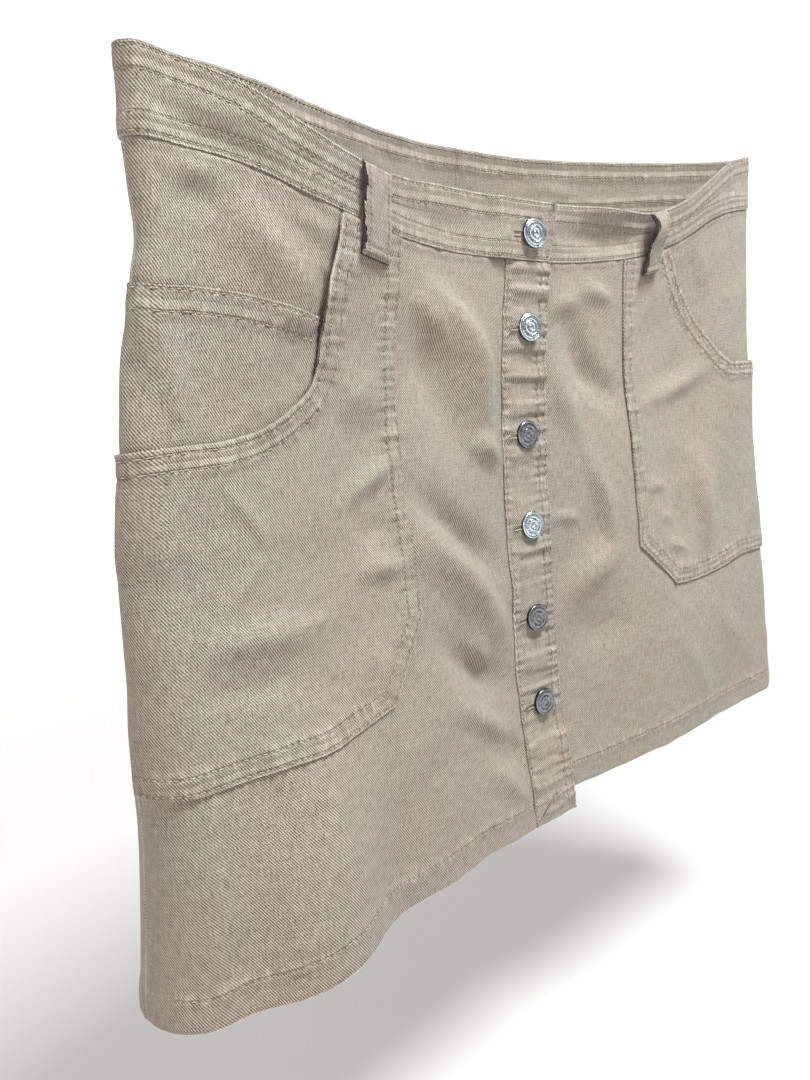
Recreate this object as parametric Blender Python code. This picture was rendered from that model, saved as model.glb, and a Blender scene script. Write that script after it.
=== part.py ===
"""Button-front denim mini skirt, hollow and hanging upright, as if held at the two ends of its waist.

Metres, +Z up. The origin is the middle of the waist, level with its two side corners. The front faces -Y,
and the wearer's left is +X. The cloth is described by level rings. A place on it has a distance, measured
along the ring from the centre line of its face (+ towards the wearer's left), and a depth below the origin.
"""

import bmesh
import bpy
import numpy as np
from mathutils import Matrix, Vector

# Cloth and seams
CLOTH = 0.0012  # one layer of denim
DOUBLE = 0.0024  # two layers: waistband, button band, hem
SEAM_GAP = 0.0003
WAIST_GAP = 0.0006  # below the waistband, whose edge is divided differently
LAY_GAP = 0.0006  # between a panel and the band that lies on it
PATCH_GAP = 0.0010  # between a panel and a pocket, which is divided differently
STEM_GAP = 0.0006  # from the end of a button's stem to the cloth below

# Front fastening
CENTRE_SHIFT = -0.007  # the button line hangs this far off the middle of the front
BAND_HALF = 0.019
BAND_LAP = 0.003  # how far the right front runs under the button band
UNDER_GAP = 0.001  # from the right front's edge to the left front's, under the band
HOLE_SLIT = 0.0125
HOLE_SLIT_WIDTH = 0.001
EYELET_RADIUS = 0.0022
BUTTON_DEPTHS = (0.0650, 0.1180, 0.1810, 0.2365, 0.2950, 0.3500)
BUTTON_RADIUS = 0.0085
STEM_RADIUS = 0.0017
BUTTON_SIDES = 20

# Hem
HEM_RIGHT = 0.4265
HEM_LEFT = 0.4145
HEM_FOLD = 0.017

# Belt loops
LOOP_WIDTH = 0.020
LOOP_THICK = 0.0018
LOOP_STAND = 0.0085
LOOP_TUCK = 0.0015  # from the waistband's top edge down to the loop
LOOP_DROP = 0.0165  # how far a loop reaches below the waistband
FRONT_LOOP = 0.119  # from the button line
BACK_LOOP = 0.135

# Coin pocket
COIN_INNER = 0.149
COIN_BOTTOM = 0.205

# How finely the cloth is divided
FOLD_STEPS = 5  # round each side fold, on each face
FLAT_STEPS = 15  # from the side fold to the centre line
PANEL_ROWS = 14
BACK_ROWS = 9
BAND_ROWS = 30
POCKET_ROWS = 10
SLOPE_STEP = 0.0005


def table(names, *rows):
    """Named columns of a short table."""
    return dict(zip(names.split(), np.array(rows, float).T))


# Level rings: half width, radius of the side folds, how far the ring hangs towards +X, how far the middle of
# the front stands back, how far the front stands forward over each pocket, and how far the back bows out.
RINGS = table(
    "depth half_width fold sway hollow over_right over_left bow peak",
    (0.000, 0.2470, 0.0070, 0.0000, 0.0000, 0.0130, 0.0070, 0.0520, 0.09),
    (0.070, 0.2460, 0.0075, -0.0025, 0.0025, 0.0085, -0.0010, 0.0545, 0.08),
    (0.150, 0.2540, 0.0100, -0.0105, 0.0070, -0.0010, -0.0075, 0.0560, 0.06),
    (0.240, 0.2610, 0.0170, -0.0140, 0.0125, -0.0020, -0.0060, 0.0520, 0.04),
    (0.330, 0.2660, 0.0250, -0.0150, 0.0180, -0.0020, -0.0030, 0.0440, 0.02),
    (0.430, 0.2730, 0.0320, -0.0165, 0.0140, -0.0040, -0.0025, 0.0360, 0.00),
)
HOLLOW_SHARE = 0.5  # half the span of the hollow, as a share of the half width
OVER_SHARE = 0.36
OVER_MIDDLE = 0.60
BOW_POWER = 2.2

# Flutes that open towards the hem: which face, where across it, half their span, and their depth at the hem.
FLUTES = (
    {"face": "front", "middle": -0.70, "span": 0.20, "rise": 0.0205},
    {"face": "back", "middle": -0.42, "span": 0.26, "rise": 0.0090},
    {"face": "back", "middle": 0.05, "span": 0.22, "rise": -0.0060},
    {"face": "back", "middle": 0.50, "span": 0.28, "rise": 0.0080},
)
FLUTE_TOP = 0.26
FLUTE_FULL = 0.432

# Depths of the waistband's two edges, from the right side seam to the left, on the front and on the back.
WAIST = table(
    "distance top_front low_front top_back low_back",
    (-0.246, 0.0000, 0.0368, 0.0000, 0.0368),
    (-0.225, 0.0025, 0.0385, -0.0020, 0.0366),
    (-0.190, 0.0115, 0.0448, -0.0025, 0.0366),
    (-0.160, 0.0270, 0.0565, -0.0015, 0.0370),
    (-0.125, 0.0400, 0.0675, 0.0005, 0.0380),
    (-0.065, 0.0430, 0.0762, 0.0010, 0.0390),
    (0.000, 0.0455, 0.0795, 0.0000, 0.0395),
    (0.065, 0.0455, 0.0780, 0.0000, 0.0390),
    (0.125, 0.0445, 0.0705, 0.0000, 0.0380),
    (0.160, 0.0345, 0.0605, 0.0000, 0.0368),
    (0.190, 0.0185, 0.0470, -0.0005, 0.0358),
    (0.225, 0.0020, 0.0372, -0.0020, 0.0348),
    (0.254, -0.0050, 0.0335, -0.0050, 0.0335),
)

# Patch pockets, from the inner edge to the side: the upper and the lower outline.
POCKET_RIGHT = table(
    "top_distance top_depth low_distance low_depth",
    (0.1035, np.nan, 0.1005, 0.2690),
    (0.1235, np.nan, 0.1135, 0.2900),
    (0.1430, np.nan, 0.1270, 0.3110),
    (0.1465, 0.0800, 0.1420, 0.3140),
    (0.1505, 0.0940, 0.1560, 0.3165),
    (0.1525, 0.1130, 0.1690, 0.3185),
    (0.1535, 0.1290, 0.1810, 0.3185),
    (0.1580, 0.1430, 0.1920, 0.3180),
    (0.1730, 0.1545, 0.2030, 0.3180),
    (0.1870, 0.1610, 0.2130, 0.3175),
    (0.2060, 0.1645, 0.2220, 0.3175),
)
POCKET_RIGHT_SIDE = (0.1660, 0.3165)
POCKET_LEFT = table(
    "top_distance top_depth low_distance low_depth",
    (0.0915, np.nan, 0.1020, 0.2670),
    (0.1180, np.nan, 0.1205, 0.2840),
    (0.1440, np.nan, 0.1390, 0.3010),
    (0.1500, 0.0755, 0.1510, 0.3025),
    (0.1560, 0.0850, 0.1620, 0.3030),
    (0.1650, 0.0960, 0.1730, 0.3030),
    (0.1760, 0.1080, 0.1840, 0.3025),
    (0.1880, 0.1190, 0.1950, 0.3010),
    (0.2010, 0.1300, 0.2060, 0.2995),
    (0.2130, 0.1400, 0.2160, 0.2975),
    (0.2260, 0.1475, 0.2260, 0.2955),
)
POCKET_LEFT_SIDE = (0.1505, 0.2945)

# Top edge of the coin pocket, from its inner corner to the side.
COIN_TOP = table(
    "distance depth",
    (0.149, 0.1125),
    (0.170, 0.1055),
    (0.189, 0.1010),
    (0.205, 0.0985),
    (0.219, 0.0970),
)
COIN_SIDE_DEPTH = 0.0955

# A belt loop from its top end down: share of its length, and share of its stand off the waistband.
LOOP_PATH = table(
    "along stand",
    (0.00, 0.00),
    (0.07, 0.05),
    (0.16, 0.70),
    (0.30, 1.00),
    (0.55, 1.00),
    (0.74, 0.85),
    (0.88, 0.30),
    (1.00, 0.28),
)

DENIM = (0.585, 0.515, 0.425, 1.0)
METAL = (0.62, 0.63, 0.65, 1.0)


def clear_scene():
    for thing in list(bpy.data.objects):
        bpy.data.objects.remove(thing)


def material(name, colour, roughness, metallic=0.0):
    made = bpy.data.materials.new(name)
    made.use_nodes = True
    shader = made.node_tree.nodes["Principled BSDF"]
    shader.inputs["Base Color"].default_value = colour
    shader.inputs["Roughness"].default_value = roughness
    shader.inputs["Metallic"].default_value = metallic
    return made


def read(columns, name, key, at):
    """A smooth curve through one column of a table, flat beyond its ends."""
    keys, values = columns[key], columns[name]
    at = np.clip(np.asarray(at, float), keys[0], keys[-1])
    slopes = np.gradient(values, keys)
    i = np.clip(np.searchsorted(keys, at) - 1, 0, len(keys) - 2)
    width = keys[i + 1] - keys[i]
    t = (at - keys[i]) / width
    return (
        (2 * t**3 - 3 * t**2 + 1) * values[i]
        + (t**3 - 2 * t**2 + t) * width * slopes[i]
        + (3 * t**2 - 2 * t**3) * values[i + 1]
        + (t**3 - t**2) * width * slopes[i + 1]
    )


def hump(x):
    """1 at x = 0, falling smoothly to 0 at x = -1 and 1."""
    return np.cos(np.clip(np.abs(x), 0, 1) * np.pi / 2) ** 2


def ease(x):
    """0 below x = 0, rising smoothly to 1 at x = 1."""
    t = np.clip(x, 0, 1)
    return t * t * (3 - 2 * t)


def ring(face, share, depth):
    """Points of the cloth's inner side. share runs across the face, from -1 at the right side to 1."""
    half = read(RINGS, "half_width", "depth", depth)
    fold = read(RINGS, "fold", "depth", depth)
    into_fold = np.clip((np.abs(share) * half - (half - fold)) / fold, 0, 1)
    out = fold * np.sqrt(1 - into_fold**2)
    if face == "front":
        out = out - read(RINGS, "hollow", "depth", depth) * hump(share / HOLLOW_SHARE)
        out = out + read(RINGS, "over_right", "depth", depth) * hump((share + OVER_MIDDLE) / OVER_SHARE)
        out = out + read(RINGS, "over_left", "depth", depth) * hump((share - OVER_MIDDLE) / OVER_SHARE)
    else:
        from_peak = share - read(RINGS, "peak", "depth", depth) * (1 - share**2)
        round_off = np.clip(1 - from_peak**2, 0, 1) ** BOW_POWER
        out = out + read(RINGS, "bow", "depth", depth) * round_off
    opened = ease((depth - FLUTE_TOP) / (FLUTE_FULL - FLUTE_TOP))
    for flute in FLUTES:
        if flute["face"] == face:
            out = out + flute["rise"] * opened * hump((share - flute["middle"]) / flute["span"])
    x = read(RINGS, "sway", "depth", depth) + share * half
    y = -out if face == "front" else out
    return np.stack([x, y, -depth + 0 * share], -1)


LEVEL_STEP = 0.004
LEVELS = np.arange(0, 0.44, LEVEL_STEP)
SHARES = np.sin(np.linspace(-np.pi / 2, np.pi / 2, 241))


def measured_rings(face):
    """For each level, the distance from the centre line at each of SHARES."""
    lengths = []
    for depth in LEVELS:
        points = ring(face, SHARES, depth)
        steps = np.linalg.norm(np.diff(points, axis=0), axis=1)
        run = np.concatenate([[0], np.cumsum(steps)])
        middle = np.interp(0, SHARES, run)
        lengths.append(run - middle - (CENTRE_SHIFT if face == "front" else 0))
    return np.array(lengths)


LENGTHS = {face: measured_rings(face) for face in ("front", "back")}


def share_at(face, distance, depth):
    """The share across the face at a distance from its centre line."""
    distance, depth = np.broadcast_arrays(np.asarray(distance, float), np.asarray(depth, float))
    place = np.clip(depth / LEVEL_STEP, 0, len(LEVELS) - 1.001)
    low = place.astype(int)
    share = np.empty(distance.shape)
    for level in np.unique(low):
        here = low == level
        above = np.interp(distance[here], LENGTHS[face][level], SHARES)
        below = np.interp(distance[here], LENGTHS[face][level + 1], SHARES)
        share[here] = above + (below - above) * (place[here] - level)
    return share


def side_at(face, side, depth):
    """The distance of the side seam, where side is -1 on the wearer's right and 1 on the left."""
    column = LENGTHS[face][:, -1 if side > 0 else 0]
    return np.interp(depth, LEVELS, np.abs(column))


def on_cloth(face, distance, depth, lift):
    """Points of the cloth at a distance and a depth, lifted outwards off its inner side."""
    distance, depth = np.broadcast_arrays(np.asarray(distance, float), np.asarray(depth, float))
    near = [ring(face, share_at(face, distance + step, depth), depth) for step in (-SLOPE_STEP, SLOPE_STEP)]
    low = [ring(face, share_at(face, distance, depth + step), depth + step) for step in (-SLOPE_STEP, SLOPE_STEP)]
    out = np.cross(low[1] - low[0], near[1] - near[0]) * (1 if face == "front" else -1)
    out = out / np.linalg.norm(out, axis=-1, keepdims=True)
    return ring(face, share_at(face, distance, depth), depth) + out * np.asarray(lift)[..., None]


def distance_at(face, side, across, depth):
    """The distance of a place across a face: 0 at the side seam, 1 past its fold, 2 at the centre line."""
    seam = side_at(face, side, depth) - SEAM_GAP / 2
    turn = read(RINGS, "fold", "depth", depth) * np.pi / 2
    flat = seam - turn
    return side * np.where(across < 1, seam - across * turn, flat * (2 - across))


def across_at(face, side, distance, depth):
    """The place across a face at a positive distance: distance_at turned round."""
    seam = side_at(face, side, depth) - SEAM_GAP / 2
    turn = read(RINGS, "fold", "depth", depth) * np.pi / 2
    return np.where(distance > seam - turn, (seam - distance) / turn, 2 - distance / (seam - turn))


def waist_edge(face, edge, distance):
    """The depth of the waistband's top or low edge at a distance from the centre line of its face."""
    return read(WAIST, f"{edge}_{face}", "distance", distance)


def wall(name, points_out, points_in, finish):
    """A closed wall between two grids of points."""
    rows, columns = points_out.shape[:2]
    mesh = bmesh.new()
    sides = [[[mesh.verts.new(p) for p in row] for row in grid] for grid in (points_out, points_in)]
    outer, inner = sides
    for i in range(rows - 1):
        for j in range(columns - 1):
            mesh.faces.new((outer[i][j], outer[i + 1][j], outer[i + 1][j + 1], outer[i][j + 1]))
            mesh.faces.new((inner[i][j], inner[i][j + 1], inner[i + 1][j + 1], inner[i + 1][j]))
    rim = [(0, j) for j in range(columns)]
    rim += [(i, columns - 1) for i in range(1, rows)]
    rim += [(rows - 1, j) for j in range(columns - 2, -1, -1)]
    rim += [(i, 0) for i in range(rows - 2, 0, -1)]
    for (i, j), (k, m) in zip(rim, rim[1:] + rim[:1]):
        mesh.faces.new((outer[i][j], outer[k][m], inner[k][m], inner[i][j]))
    bmesh.ops.recalc_face_normals(mesh, faces=mesh.faces)
    return finished(name, mesh, finish)


def finished(name, mesh, finish):
    """An object of its own from a bmesh, smooth but for its sharp edges."""
    data = bpy.data.meshes.new(name)
    mesh.to_mesh(data)
    mesh.free()
    data.materials.append(finish)
    data.shade_smooth()
    data.set_sharp_from_angle(angle=np.radians(40))
    made = bpy.data.objects.new(name, data)
    bpy.context.collection.objects.link(made)
    return made


def cloth_piece(name, face, distance, depth, lift_out, lift_in, colour=DENIM):
    """A wall of cloth over a grid of distances and depths."""
    finish = material(name, colour, 0.9)
    lift_out, lift_in = (lift + 0 * depth for lift in (lift_out, lift_in))
    points_out = on_cloth(face, distance, depth, lift_out)
    points_in = on_cloth(face, distance, depth, lift_in)
    return wall(name, points_out, points_in, finish)


def columns_to(face, side, last, depth):
    """Places across a face, from the side seam to a distance from the centre line."""
    end = across_at(face, side, last, depth)
    return np.concatenate([np.linspace(0, 1, FOLD_STEPS + 1)[:-1], np.linspace(1, end, FLAT_STEPS + 1)])


def side_name(side):
    return "left" if side > 0 else "right"


def rows_with_hem(top, hem, rows):
    """Depths down a panel, with two close rows where the hem's fold begins."""
    body = np.linspace(0, 1, rows)
    fold_top = hem - HEM_FOLD
    down = [top + (fold_top - CLOTH - top) * share for share in body]
    return np.array(down + [fold_top, (fold_top + hem) / 2, hem])


def panel(name, face, side, last, hem_at, rows):
    """A panel from its side seam to a distance from the centre line, with its hem turned up inside."""
    middle_depth = 0.2
    across = columns_to(face, side, last, middle_depth)
    depth = np.empty((rows + 3, len(across)))
    distance = np.empty_like(depth)
    for j, place in enumerate(across):
        near_waist = float(distance_at(face, side, place, 0.05))
        top = float(waist_edge(face, "low", near_waist)) + WAIST_GAP
        depth[:, j] = rows_with_hem(top, hem_at(near_waist), rows)
    for j, place in enumerate(across):
        distance[:, j] = distance_at(face, side, place, depth[:, j])
    distance[:, -1] = side * last
    lift_in = np.zeros_like(depth)
    lift_in[rows:] = CLOTH - DOUBLE
    return cloth_piece(name, face, distance, depth, CLOTH, lift_in)


def right_hem(distance):
    return HEM_RIGHT


def left_hem(distance):
    return HEM_LEFT


def back_hem(distance):
    """The back's hem runs level from one side's to the other's."""
    share = 0.5 + 0.5 * distance / side_at("back", 1, HEM_LEFT)
    return HEM_RIGHT + (HEM_LEFT - HEM_RIGHT) * share


def front_panels():
    panel("front_panel_right", "front", -1, BAND_HALF - BAND_LAP, right_hem, PANEL_ROWS)
    panel("front_panel_left", "front", 1, -(BAND_HALF - BAND_LAP - UNDER_GAP), left_hem, PANEL_ROWS)


def back_panels():
    for side in (-1, 1):
        panel("back_panel_" + side_name(side), "back", side, SEAM_GAP / 2, back_hem, BACK_ROWS)


def waistband_front(side):
    """One half of the front waistband. The wearer's right half laps over the left."""
    name = side_name(side)
    last = BAND_HALF if side < 0 else -(BAND_HALF - UNDER_GAP)
    lap_steps = 7
    across = columns_to("front", side, 0.04, 0.05)
    flat = distance_at("front", side, across, 0.05)
    lap = np.linspace(flat[-1], last, lap_steps + 1)[1:]
    distance = np.concatenate([flat, lap])
    top = waist_edge("front", "top", distance)
    low = waist_edge("front", "low", distance)
    depth = top + (low - top) * np.linspace(0, 1, 4)[:, None]
    spread = np.empty_like(depth)
    spread[:, : len(flat)] = [distance_at("front", side, across, row) for row in depth[:, : len(flat)]]
    spread[:, len(flat) :] = lap
    lift = np.full_like(depth, CLOTH - DOUBLE + 0.0006)
    if side < 0:
        over = DOUBLE + LAY_GAP
        lift = lift + over * ease((spread + BAND_HALF + 0.016) / 0.014)
    cloth_piece("waistband_front_" + name, "front", spread, depth, lift + DOUBLE, lift)


def waistband_back(side):
    across = columns_to("back", side, SEAM_GAP / 2, 0.03)
    level = distance_at("back", side, across, 0.03)
    top = waist_edge("back", "top", level)
    low = waist_edge("back", "low", level)
    depth = top + (low - top) * np.linspace(0, 1, 4)[:, None]
    distance = np.array([distance_at("back", side, across, row) for row in depth])
    lift = CLOTH - DOUBLE + 0.0006
    cloth_piece("waistband_back_" + side_name(side), "back", distance, depth, lift + DOUBLE, lift)


def button_band():
    across = np.array([-BAND_HALF, -0.012, -0.006, 0.0, 0.006, 0.012, BAND_HALF])
    top = waist_edge("front", "low", across) + WAIST_GAP
    depth = top + (HEM_RIGHT - top) * np.linspace(0, 1, BAND_ROWS)[:, None]
    lift = CLOTH + LAY_GAP
    return cloth_piece("button_band", "front", across + 0 * depth, depth, lift + DOUBLE, lift)


def patch(name, side, upper, lower, lift_in, thick):
    """A patch on the front between two outlines, each a list of (distance, depth) from inner edge to side."""
    top = np.array([(across_at("front", side, d, z), z) for d, z in upper])
    low = np.array([(across_at("front", side, d, z), z) for d, z in lower])
    down = np.linspace(0, 1, POCKET_ROWS)[:, None, None]
    grid = top + (low - top) * down
    distance = distance_at("front", side, grid[..., 0], grid[..., 1])
    lift = lift_in(np.abs(distance), grid[..., 1])
    cloth_piece(name, "front", distance, grid[..., 1], lift + thick, lift)


def round_side(side, start, end_depth):
    """The outline's last points, round the side fold from the last listed depth to the seam."""
    places = np.linspace(1, 0, FOLD_STEPS + 1)
    depths = np.linspace(start, end_depth, FOLD_STEPS + 1)
    return [(side * distance_at("front", side, place, z), z) for place, z in zip(places, depths)]


def outlines(side, rows, side_depths):
    """Both outlines of a patch pocket. A missing depth follows the waistband's lower edge."""
    upper = []
    for distance, depth in zip(rows["top_distance"], rows["top_depth"]):
        if np.isnan(depth):
            depth = waist_edge("front", "low", side * distance) + 2 * WAIST_GAP
        upper.append((distance, float(depth)))
    lower = list(zip(rows["low_distance"], rows["low_depth"]))
    upper += round_side(side, upper[-1][1] + 0.001, side_depths[0])
    lower += round_side(side, lower[-1][1], side_depths[1])
    return upper, lower


def right_pocket_lift(distance, depth):
    """The right pocket climbs over the coin pocket, and its mouth stands off the hip."""
    over_coin = ease((COIN_BOTTOM + 0.022 - depth) / 0.02) * ease((distance - COIN_INNER + 0.022) / 0.02)
    gape = hump((distance - 0.150) / 0.020) * hump((depth - 0.105) / 0.055)
    return CLOTH + PATCH_GAP + (CLOTH + PATCH_GAP) * over_coin + 0.0020 * gape


def left_pocket_lift(distance, depth):
    gape = ease((distance - 0.14) / 0.06) * hump((depth - 0.150) / 0.06)
    return CLOTH + PATCH_GAP + 0.0015 * gape


def pockets():
    patch("pocket_right", -1, *outlines(-1, POCKET_RIGHT, POCKET_RIGHT_SIDE), right_pocket_lift, CLOTH)
    patch("pocket_left", 1, *outlines(1, POCKET_LEFT, POCKET_LEFT_SIDE), left_pocket_lift, CLOTH)


def coin_pocket():
    upper = list(zip(COIN_TOP["distance"], COIN_TOP["depth"]))
    lower = [(distance, COIN_BOTTOM) for distance in COIN_TOP["distance"]]
    upper += round_side(-1, upper[-1][1] - 0.0005, COIN_SIDE_DEPTH)
    lower += round_side(-1, COIN_BOTTOM, COIN_BOTTOM)
    patch("coin_pocket", -1, upper, lower, lambda distance, depth: CLOTH + PATCH_GAP + 0 * distance, CLOTH)


def belt_loop(name, face, middle):
    """A strap held at its two ends, standing off the waistband between them."""
    rest = CLOTH + 0.0006 + LAY_GAP
    across = np.linspace(-LOOP_WIDTH / 2, LOOP_WIDTH / 2, 4)
    distance = middle + across
    start = waist_edge(face, "top", middle) + LOOP_TUCK
    end = waist_edge(face, "low", middle) + LOOP_DROP
    along = (end - start) * LOOP_PATH["along"]
    stand = rest + LOOP_STAND * LOOP_PATH["stand"]
    slope = np.stack([np.gradient(along), np.gradient(stand)], -1)
    slope = slope / np.linalg.norm(slope, axis=-1, keepdims=True)
    outer_along = along - slope[:, 1] * LOOP_THICK
    outer_stand = stand + slope[:, 0] * LOOP_THICK
    grids = []
    for run, lift in ((outer_along, outer_stand), (along, stand)):
        depth = start + run[:, None] + 0 * distance
        grids.append(on_cloth(face, distance + 0 * depth, depth, lift[:, None] + 0 * depth))
    wall(name, *grids, material(name, DENIM, 0.9))


def belt_loops():
    for side in (-1, 1):
        belt_loop("belt_loop_front_" + side_name(side), "front", side * FRONT_LOOP)
        belt_loop("belt_loop_back_" + side_name(side), "back", side * BACK_LOOP)
    belt_loop("belt_loop_back_middle", "back", 0.0)


def frame_at(distance, depth, lift):
    """A matrix at a place on the front: local Z points out of the cloth, local X along it."""
    spot = Vector(on_cloth("front", distance, depth, lift).tolist())
    out = Vector(on_cloth("front", distance, depth, lift + 0.01).tolist()) - spot
    along = Vector(on_cloth("front", distance + 0.005, depth, lift).tolist()) - spot
    z = out.normalized()
    y = z.cross(along).normalized()
    return Matrix.Translation(spot) @ Matrix((y.cross(z), y, z)).transposed().to_4x4()


def button_mesh(stem):
    """A turned shank button. z = 0 is the head's underside, and the stem runs down from it."""
    rim, thick = BUTTON_RADIUS, 0.0030
    profile = (
        (0.0, -stem),
        (STEM_RADIUS, -stem),
        (STEM_RADIUS, 0.0),
        (rim * 0.90, 0.0),
        (rim, 0.0009),
        (rim * 0.985, 0.0018),
        (rim * 0.86, thick * 0.92),
        (rim * 0.60, thick),
        (rim * 0.52, thick * 0.72),
        (rim * 0.34, thick * 0.72),
        (rim * 0.28, thick * 0.95),
        (0.0, thick * 0.95),
    )
    mesh = bmesh.new()
    verts = [mesh.verts.new((r, 0, z)) for r, z in profile]
    edges = [mesh.edges.new(pair) for pair in zip(verts, verts[1:])]
    bmesh.ops.spin(
        mesh,
        geom=verts + edges,
        axis=(0, 0, 1),
        cent=(0, 0, 0),
        steps=BUTTON_SIDES,
        angle=2 * np.pi,
        use_merge=True,
    )
    bmesh.ops.remove_doubles(mesh, verts=mesh.verts, dist=1e-6)
    bmesh.ops.recalc_face_normals(mesh, faces=mesh.faces)
    return mesh


def buttons():
    for number, depth in enumerate(BUTTON_DEPTHS, 1):
        on_waistband = number == 1
        cloth_top = CLOTH + 0.0006 + DOUBLE + LAY_GAP if on_waistband else CLOTH + LAY_GAP + DOUBLE
        under = CLOTH + 0.0006 if on_waistband else CLOTH
        lift = cloth_top + 0.0006
        stem = lift - under - STEM_GAP
        name = f"button_{number}"
        made = finished(name, button_mesh(stem), material(name, METAL, 0.28, 1.0))
        made.matrix_world = frame_at(0.0, depth, lift)


def hole_cutter(number, depth, lift):
    """A keyhole prism: an eyelet round the stem and a slit towards the wearer's right."""
    long = 0.006
    mesh = bmesh.new()
    turns = np.linspace(0, 2 * np.pi, 17)[:-1]
    half = HOLE_SLIT_WIDTH / 2
    cut_angle = np.arcsin(half / EYELET_RADIUS)
    arc = [a for a in turns if abs(a - np.pi) > cut_angle + 0.05]
    outline = [(EYELET_RADIUS * np.cos(a), EYELET_RADIUS * np.sin(a)) for a in arc if a < np.pi]
    outline += [(-EYELET_RADIUS * np.cos(cut_angle), half), (-HOLE_SLIT, half)]
    outline += [(-HOLE_SLIT, -half), (-EYELET_RADIUS * np.cos(cut_angle), -half)]
    outline += [(EYELET_RADIUS * np.cos(a), EYELET_RADIUS * np.sin(a)) for a in arc if a > np.pi]
    face = mesh.faces.new([mesh.verts.new((x, y, -long)) for x, y in outline])
    grown = bmesh.ops.extrude_face_region(mesh, geom=[face])["geom"]
    bmesh.ops.translate(mesh, vec=(0, 0, 2 * long), verts=[g for g in grown if isinstance(g, bmesh.types.BMVert)])
    bmesh.ops.recalc_face_normals(mesh, faces=mesh.faces)
    made = finished(f"hole_cutter_{number}", mesh, material(f"hole_cutter_{number}", DENIM, 0.9))
    made.matrix_world = frame_at(0.0, depth, lift)
    made.hide_render = True
    made.display_type = "WIRE"
    return made


def buttonholes(band, waistband):
    for number, depth in enumerate(BUTTON_DEPTHS, 1):
        cut = (waistband if number == 1 else band).modifiers.new(f"buttonhole_{number}", "BOOLEAN")
        cut.operation = "DIFFERENCE"
        cut.object = hole_cutter(number, depth, CLOTH + LAY_GAP + DOUBLE / 2)


clear_scene()
front_panels()
back_panels()
waistband_front(-1)
waistband_front(1)
waistband_back(-1)
waistband_back(1)
right_waistband = bpy.data.objects["waistband_front_right"]
fly_band = button_band()
coin_pocket()
pockets()
belt_loops()
buttons()
buttonholes(fly_band, right_waistband)
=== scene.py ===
"""The looks of a sand-beige denim mini skirt with a button front, hanging upright and open.

Metres, +Z up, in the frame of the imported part. The front faces -Y and the wearer's left is +X. A place on
the cloth has a distance, measured round its ring from the centre line of its face (+ towards the wearer's
left), and a depth below the middle of the waist, as in the part's own source.
"""

import bpy
import numpy as np
from mathutils import Matrix, Vector


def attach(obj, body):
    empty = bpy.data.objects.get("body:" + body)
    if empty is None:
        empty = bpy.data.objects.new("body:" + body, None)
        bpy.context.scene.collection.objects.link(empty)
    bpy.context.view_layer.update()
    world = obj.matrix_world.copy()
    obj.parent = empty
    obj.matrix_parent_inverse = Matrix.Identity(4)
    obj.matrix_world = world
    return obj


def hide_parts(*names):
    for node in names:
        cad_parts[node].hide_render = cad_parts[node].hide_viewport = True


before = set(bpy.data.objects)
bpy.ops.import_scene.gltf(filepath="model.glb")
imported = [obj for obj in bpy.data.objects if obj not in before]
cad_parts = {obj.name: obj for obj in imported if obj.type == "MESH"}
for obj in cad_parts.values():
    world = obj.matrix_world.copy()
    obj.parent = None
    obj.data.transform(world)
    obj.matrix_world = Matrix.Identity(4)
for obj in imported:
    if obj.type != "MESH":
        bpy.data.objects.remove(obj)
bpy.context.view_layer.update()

# Cloth
CLOTH = 0.0012
DOUBLE = 0.0024
SEAM_GAP = 0.0002
WAIST_GAP = 0.0004
PANEL_TUCK = 0.0012  # how far the panels reach up into the waistband they are sewn into
PANEL_SINK = 0.0008
SIDE_LAP = 0.0004  # how far the fronts and the backs reach into each other at the side seams
PATCH_GAP = 0.0002
WAIST_LIFT = -0.0006  # the waistband straddles the panels' thickness
PANEL_PITCH = 0.0021  # sizes of the meshes' squares
PATCH_PITCH = 0.0016
BAND_PITCH = 0.001
WAIST_PITCH = 0.0013
EDGE_ROLL = 0.0009  # width of the rounding along an edge
HEM_FOLD = 0.017
HEM_RIGHT = 0.4265
HEM_LEFT = 0.4145
HEM_ROPE = 0.0085  # from one slanted ripple of the hem to the next
WAIST_DEPTH = 0.036
LAP_SLANT = 0.005  # how far the lapped end reaches past the button band at its top

# Weave
TWILL_PITCH = 0.00108
TWILL_ANGLE = np.radians(57)  # down to the wearer's left
PICK_PITCH = 0.00085

# Fastening
CENTRE_SHIFT = -0.007
BAND_HALF = 0.019
BAND_LAP = 0.003
UNDER_GAP = 0.001
HOLE_SLIT = 0.0125
BUTTON_DEPTHS = (0.065, 0.118, 0.181, 0.2365, 0.295, 0.35)
BUTTON_RADIUS = 0.0085

# Stitches
STITCH = 0.0031  # from one stitch to the next
STITCH_SHARE = 0.78  # of that which the thread shows
STITCH_RADIUS = 0.00028
NO_ROW = 0.5  # an offset that no place on the cloth is near
SHADED_EDGE = -1.0  # stands for a second row where a loop's edge strip and lower end get painted shade, near-black, for the shadowed gap beside them
EDGE_ROW = 0.0018  # offsets of the stitch rows from their edges
SECOND_ROW = 0.0094
MOUTH_ROWS = (0.0034, 0.0106)
COIN_ROWS = (0.0022, 0.0116)
WAIST_TOP_ROWS = (0.0022, 0.0108)
WAIST_LOW_ROWS = (0.0016, 0.0092)
HEM_ROW = 0.015
PUCKER = 0.0052  # from one pucker along a seam to the next
PUCKER_RISE = 0.0004
WAIST_PUCKER = 0.6  # how strongly the pieces' seams pucker, against the panels' seams
BAND_PUCKER = 1.4
PATCH_PUCKER = 1.45

# The open slit beside the right pocket's mouth
GAP_DEPTH = 0.107
GAP_HALF = 0.045
GAP_WIDTH = 0.0016
GAP_SINK = 0.003

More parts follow.
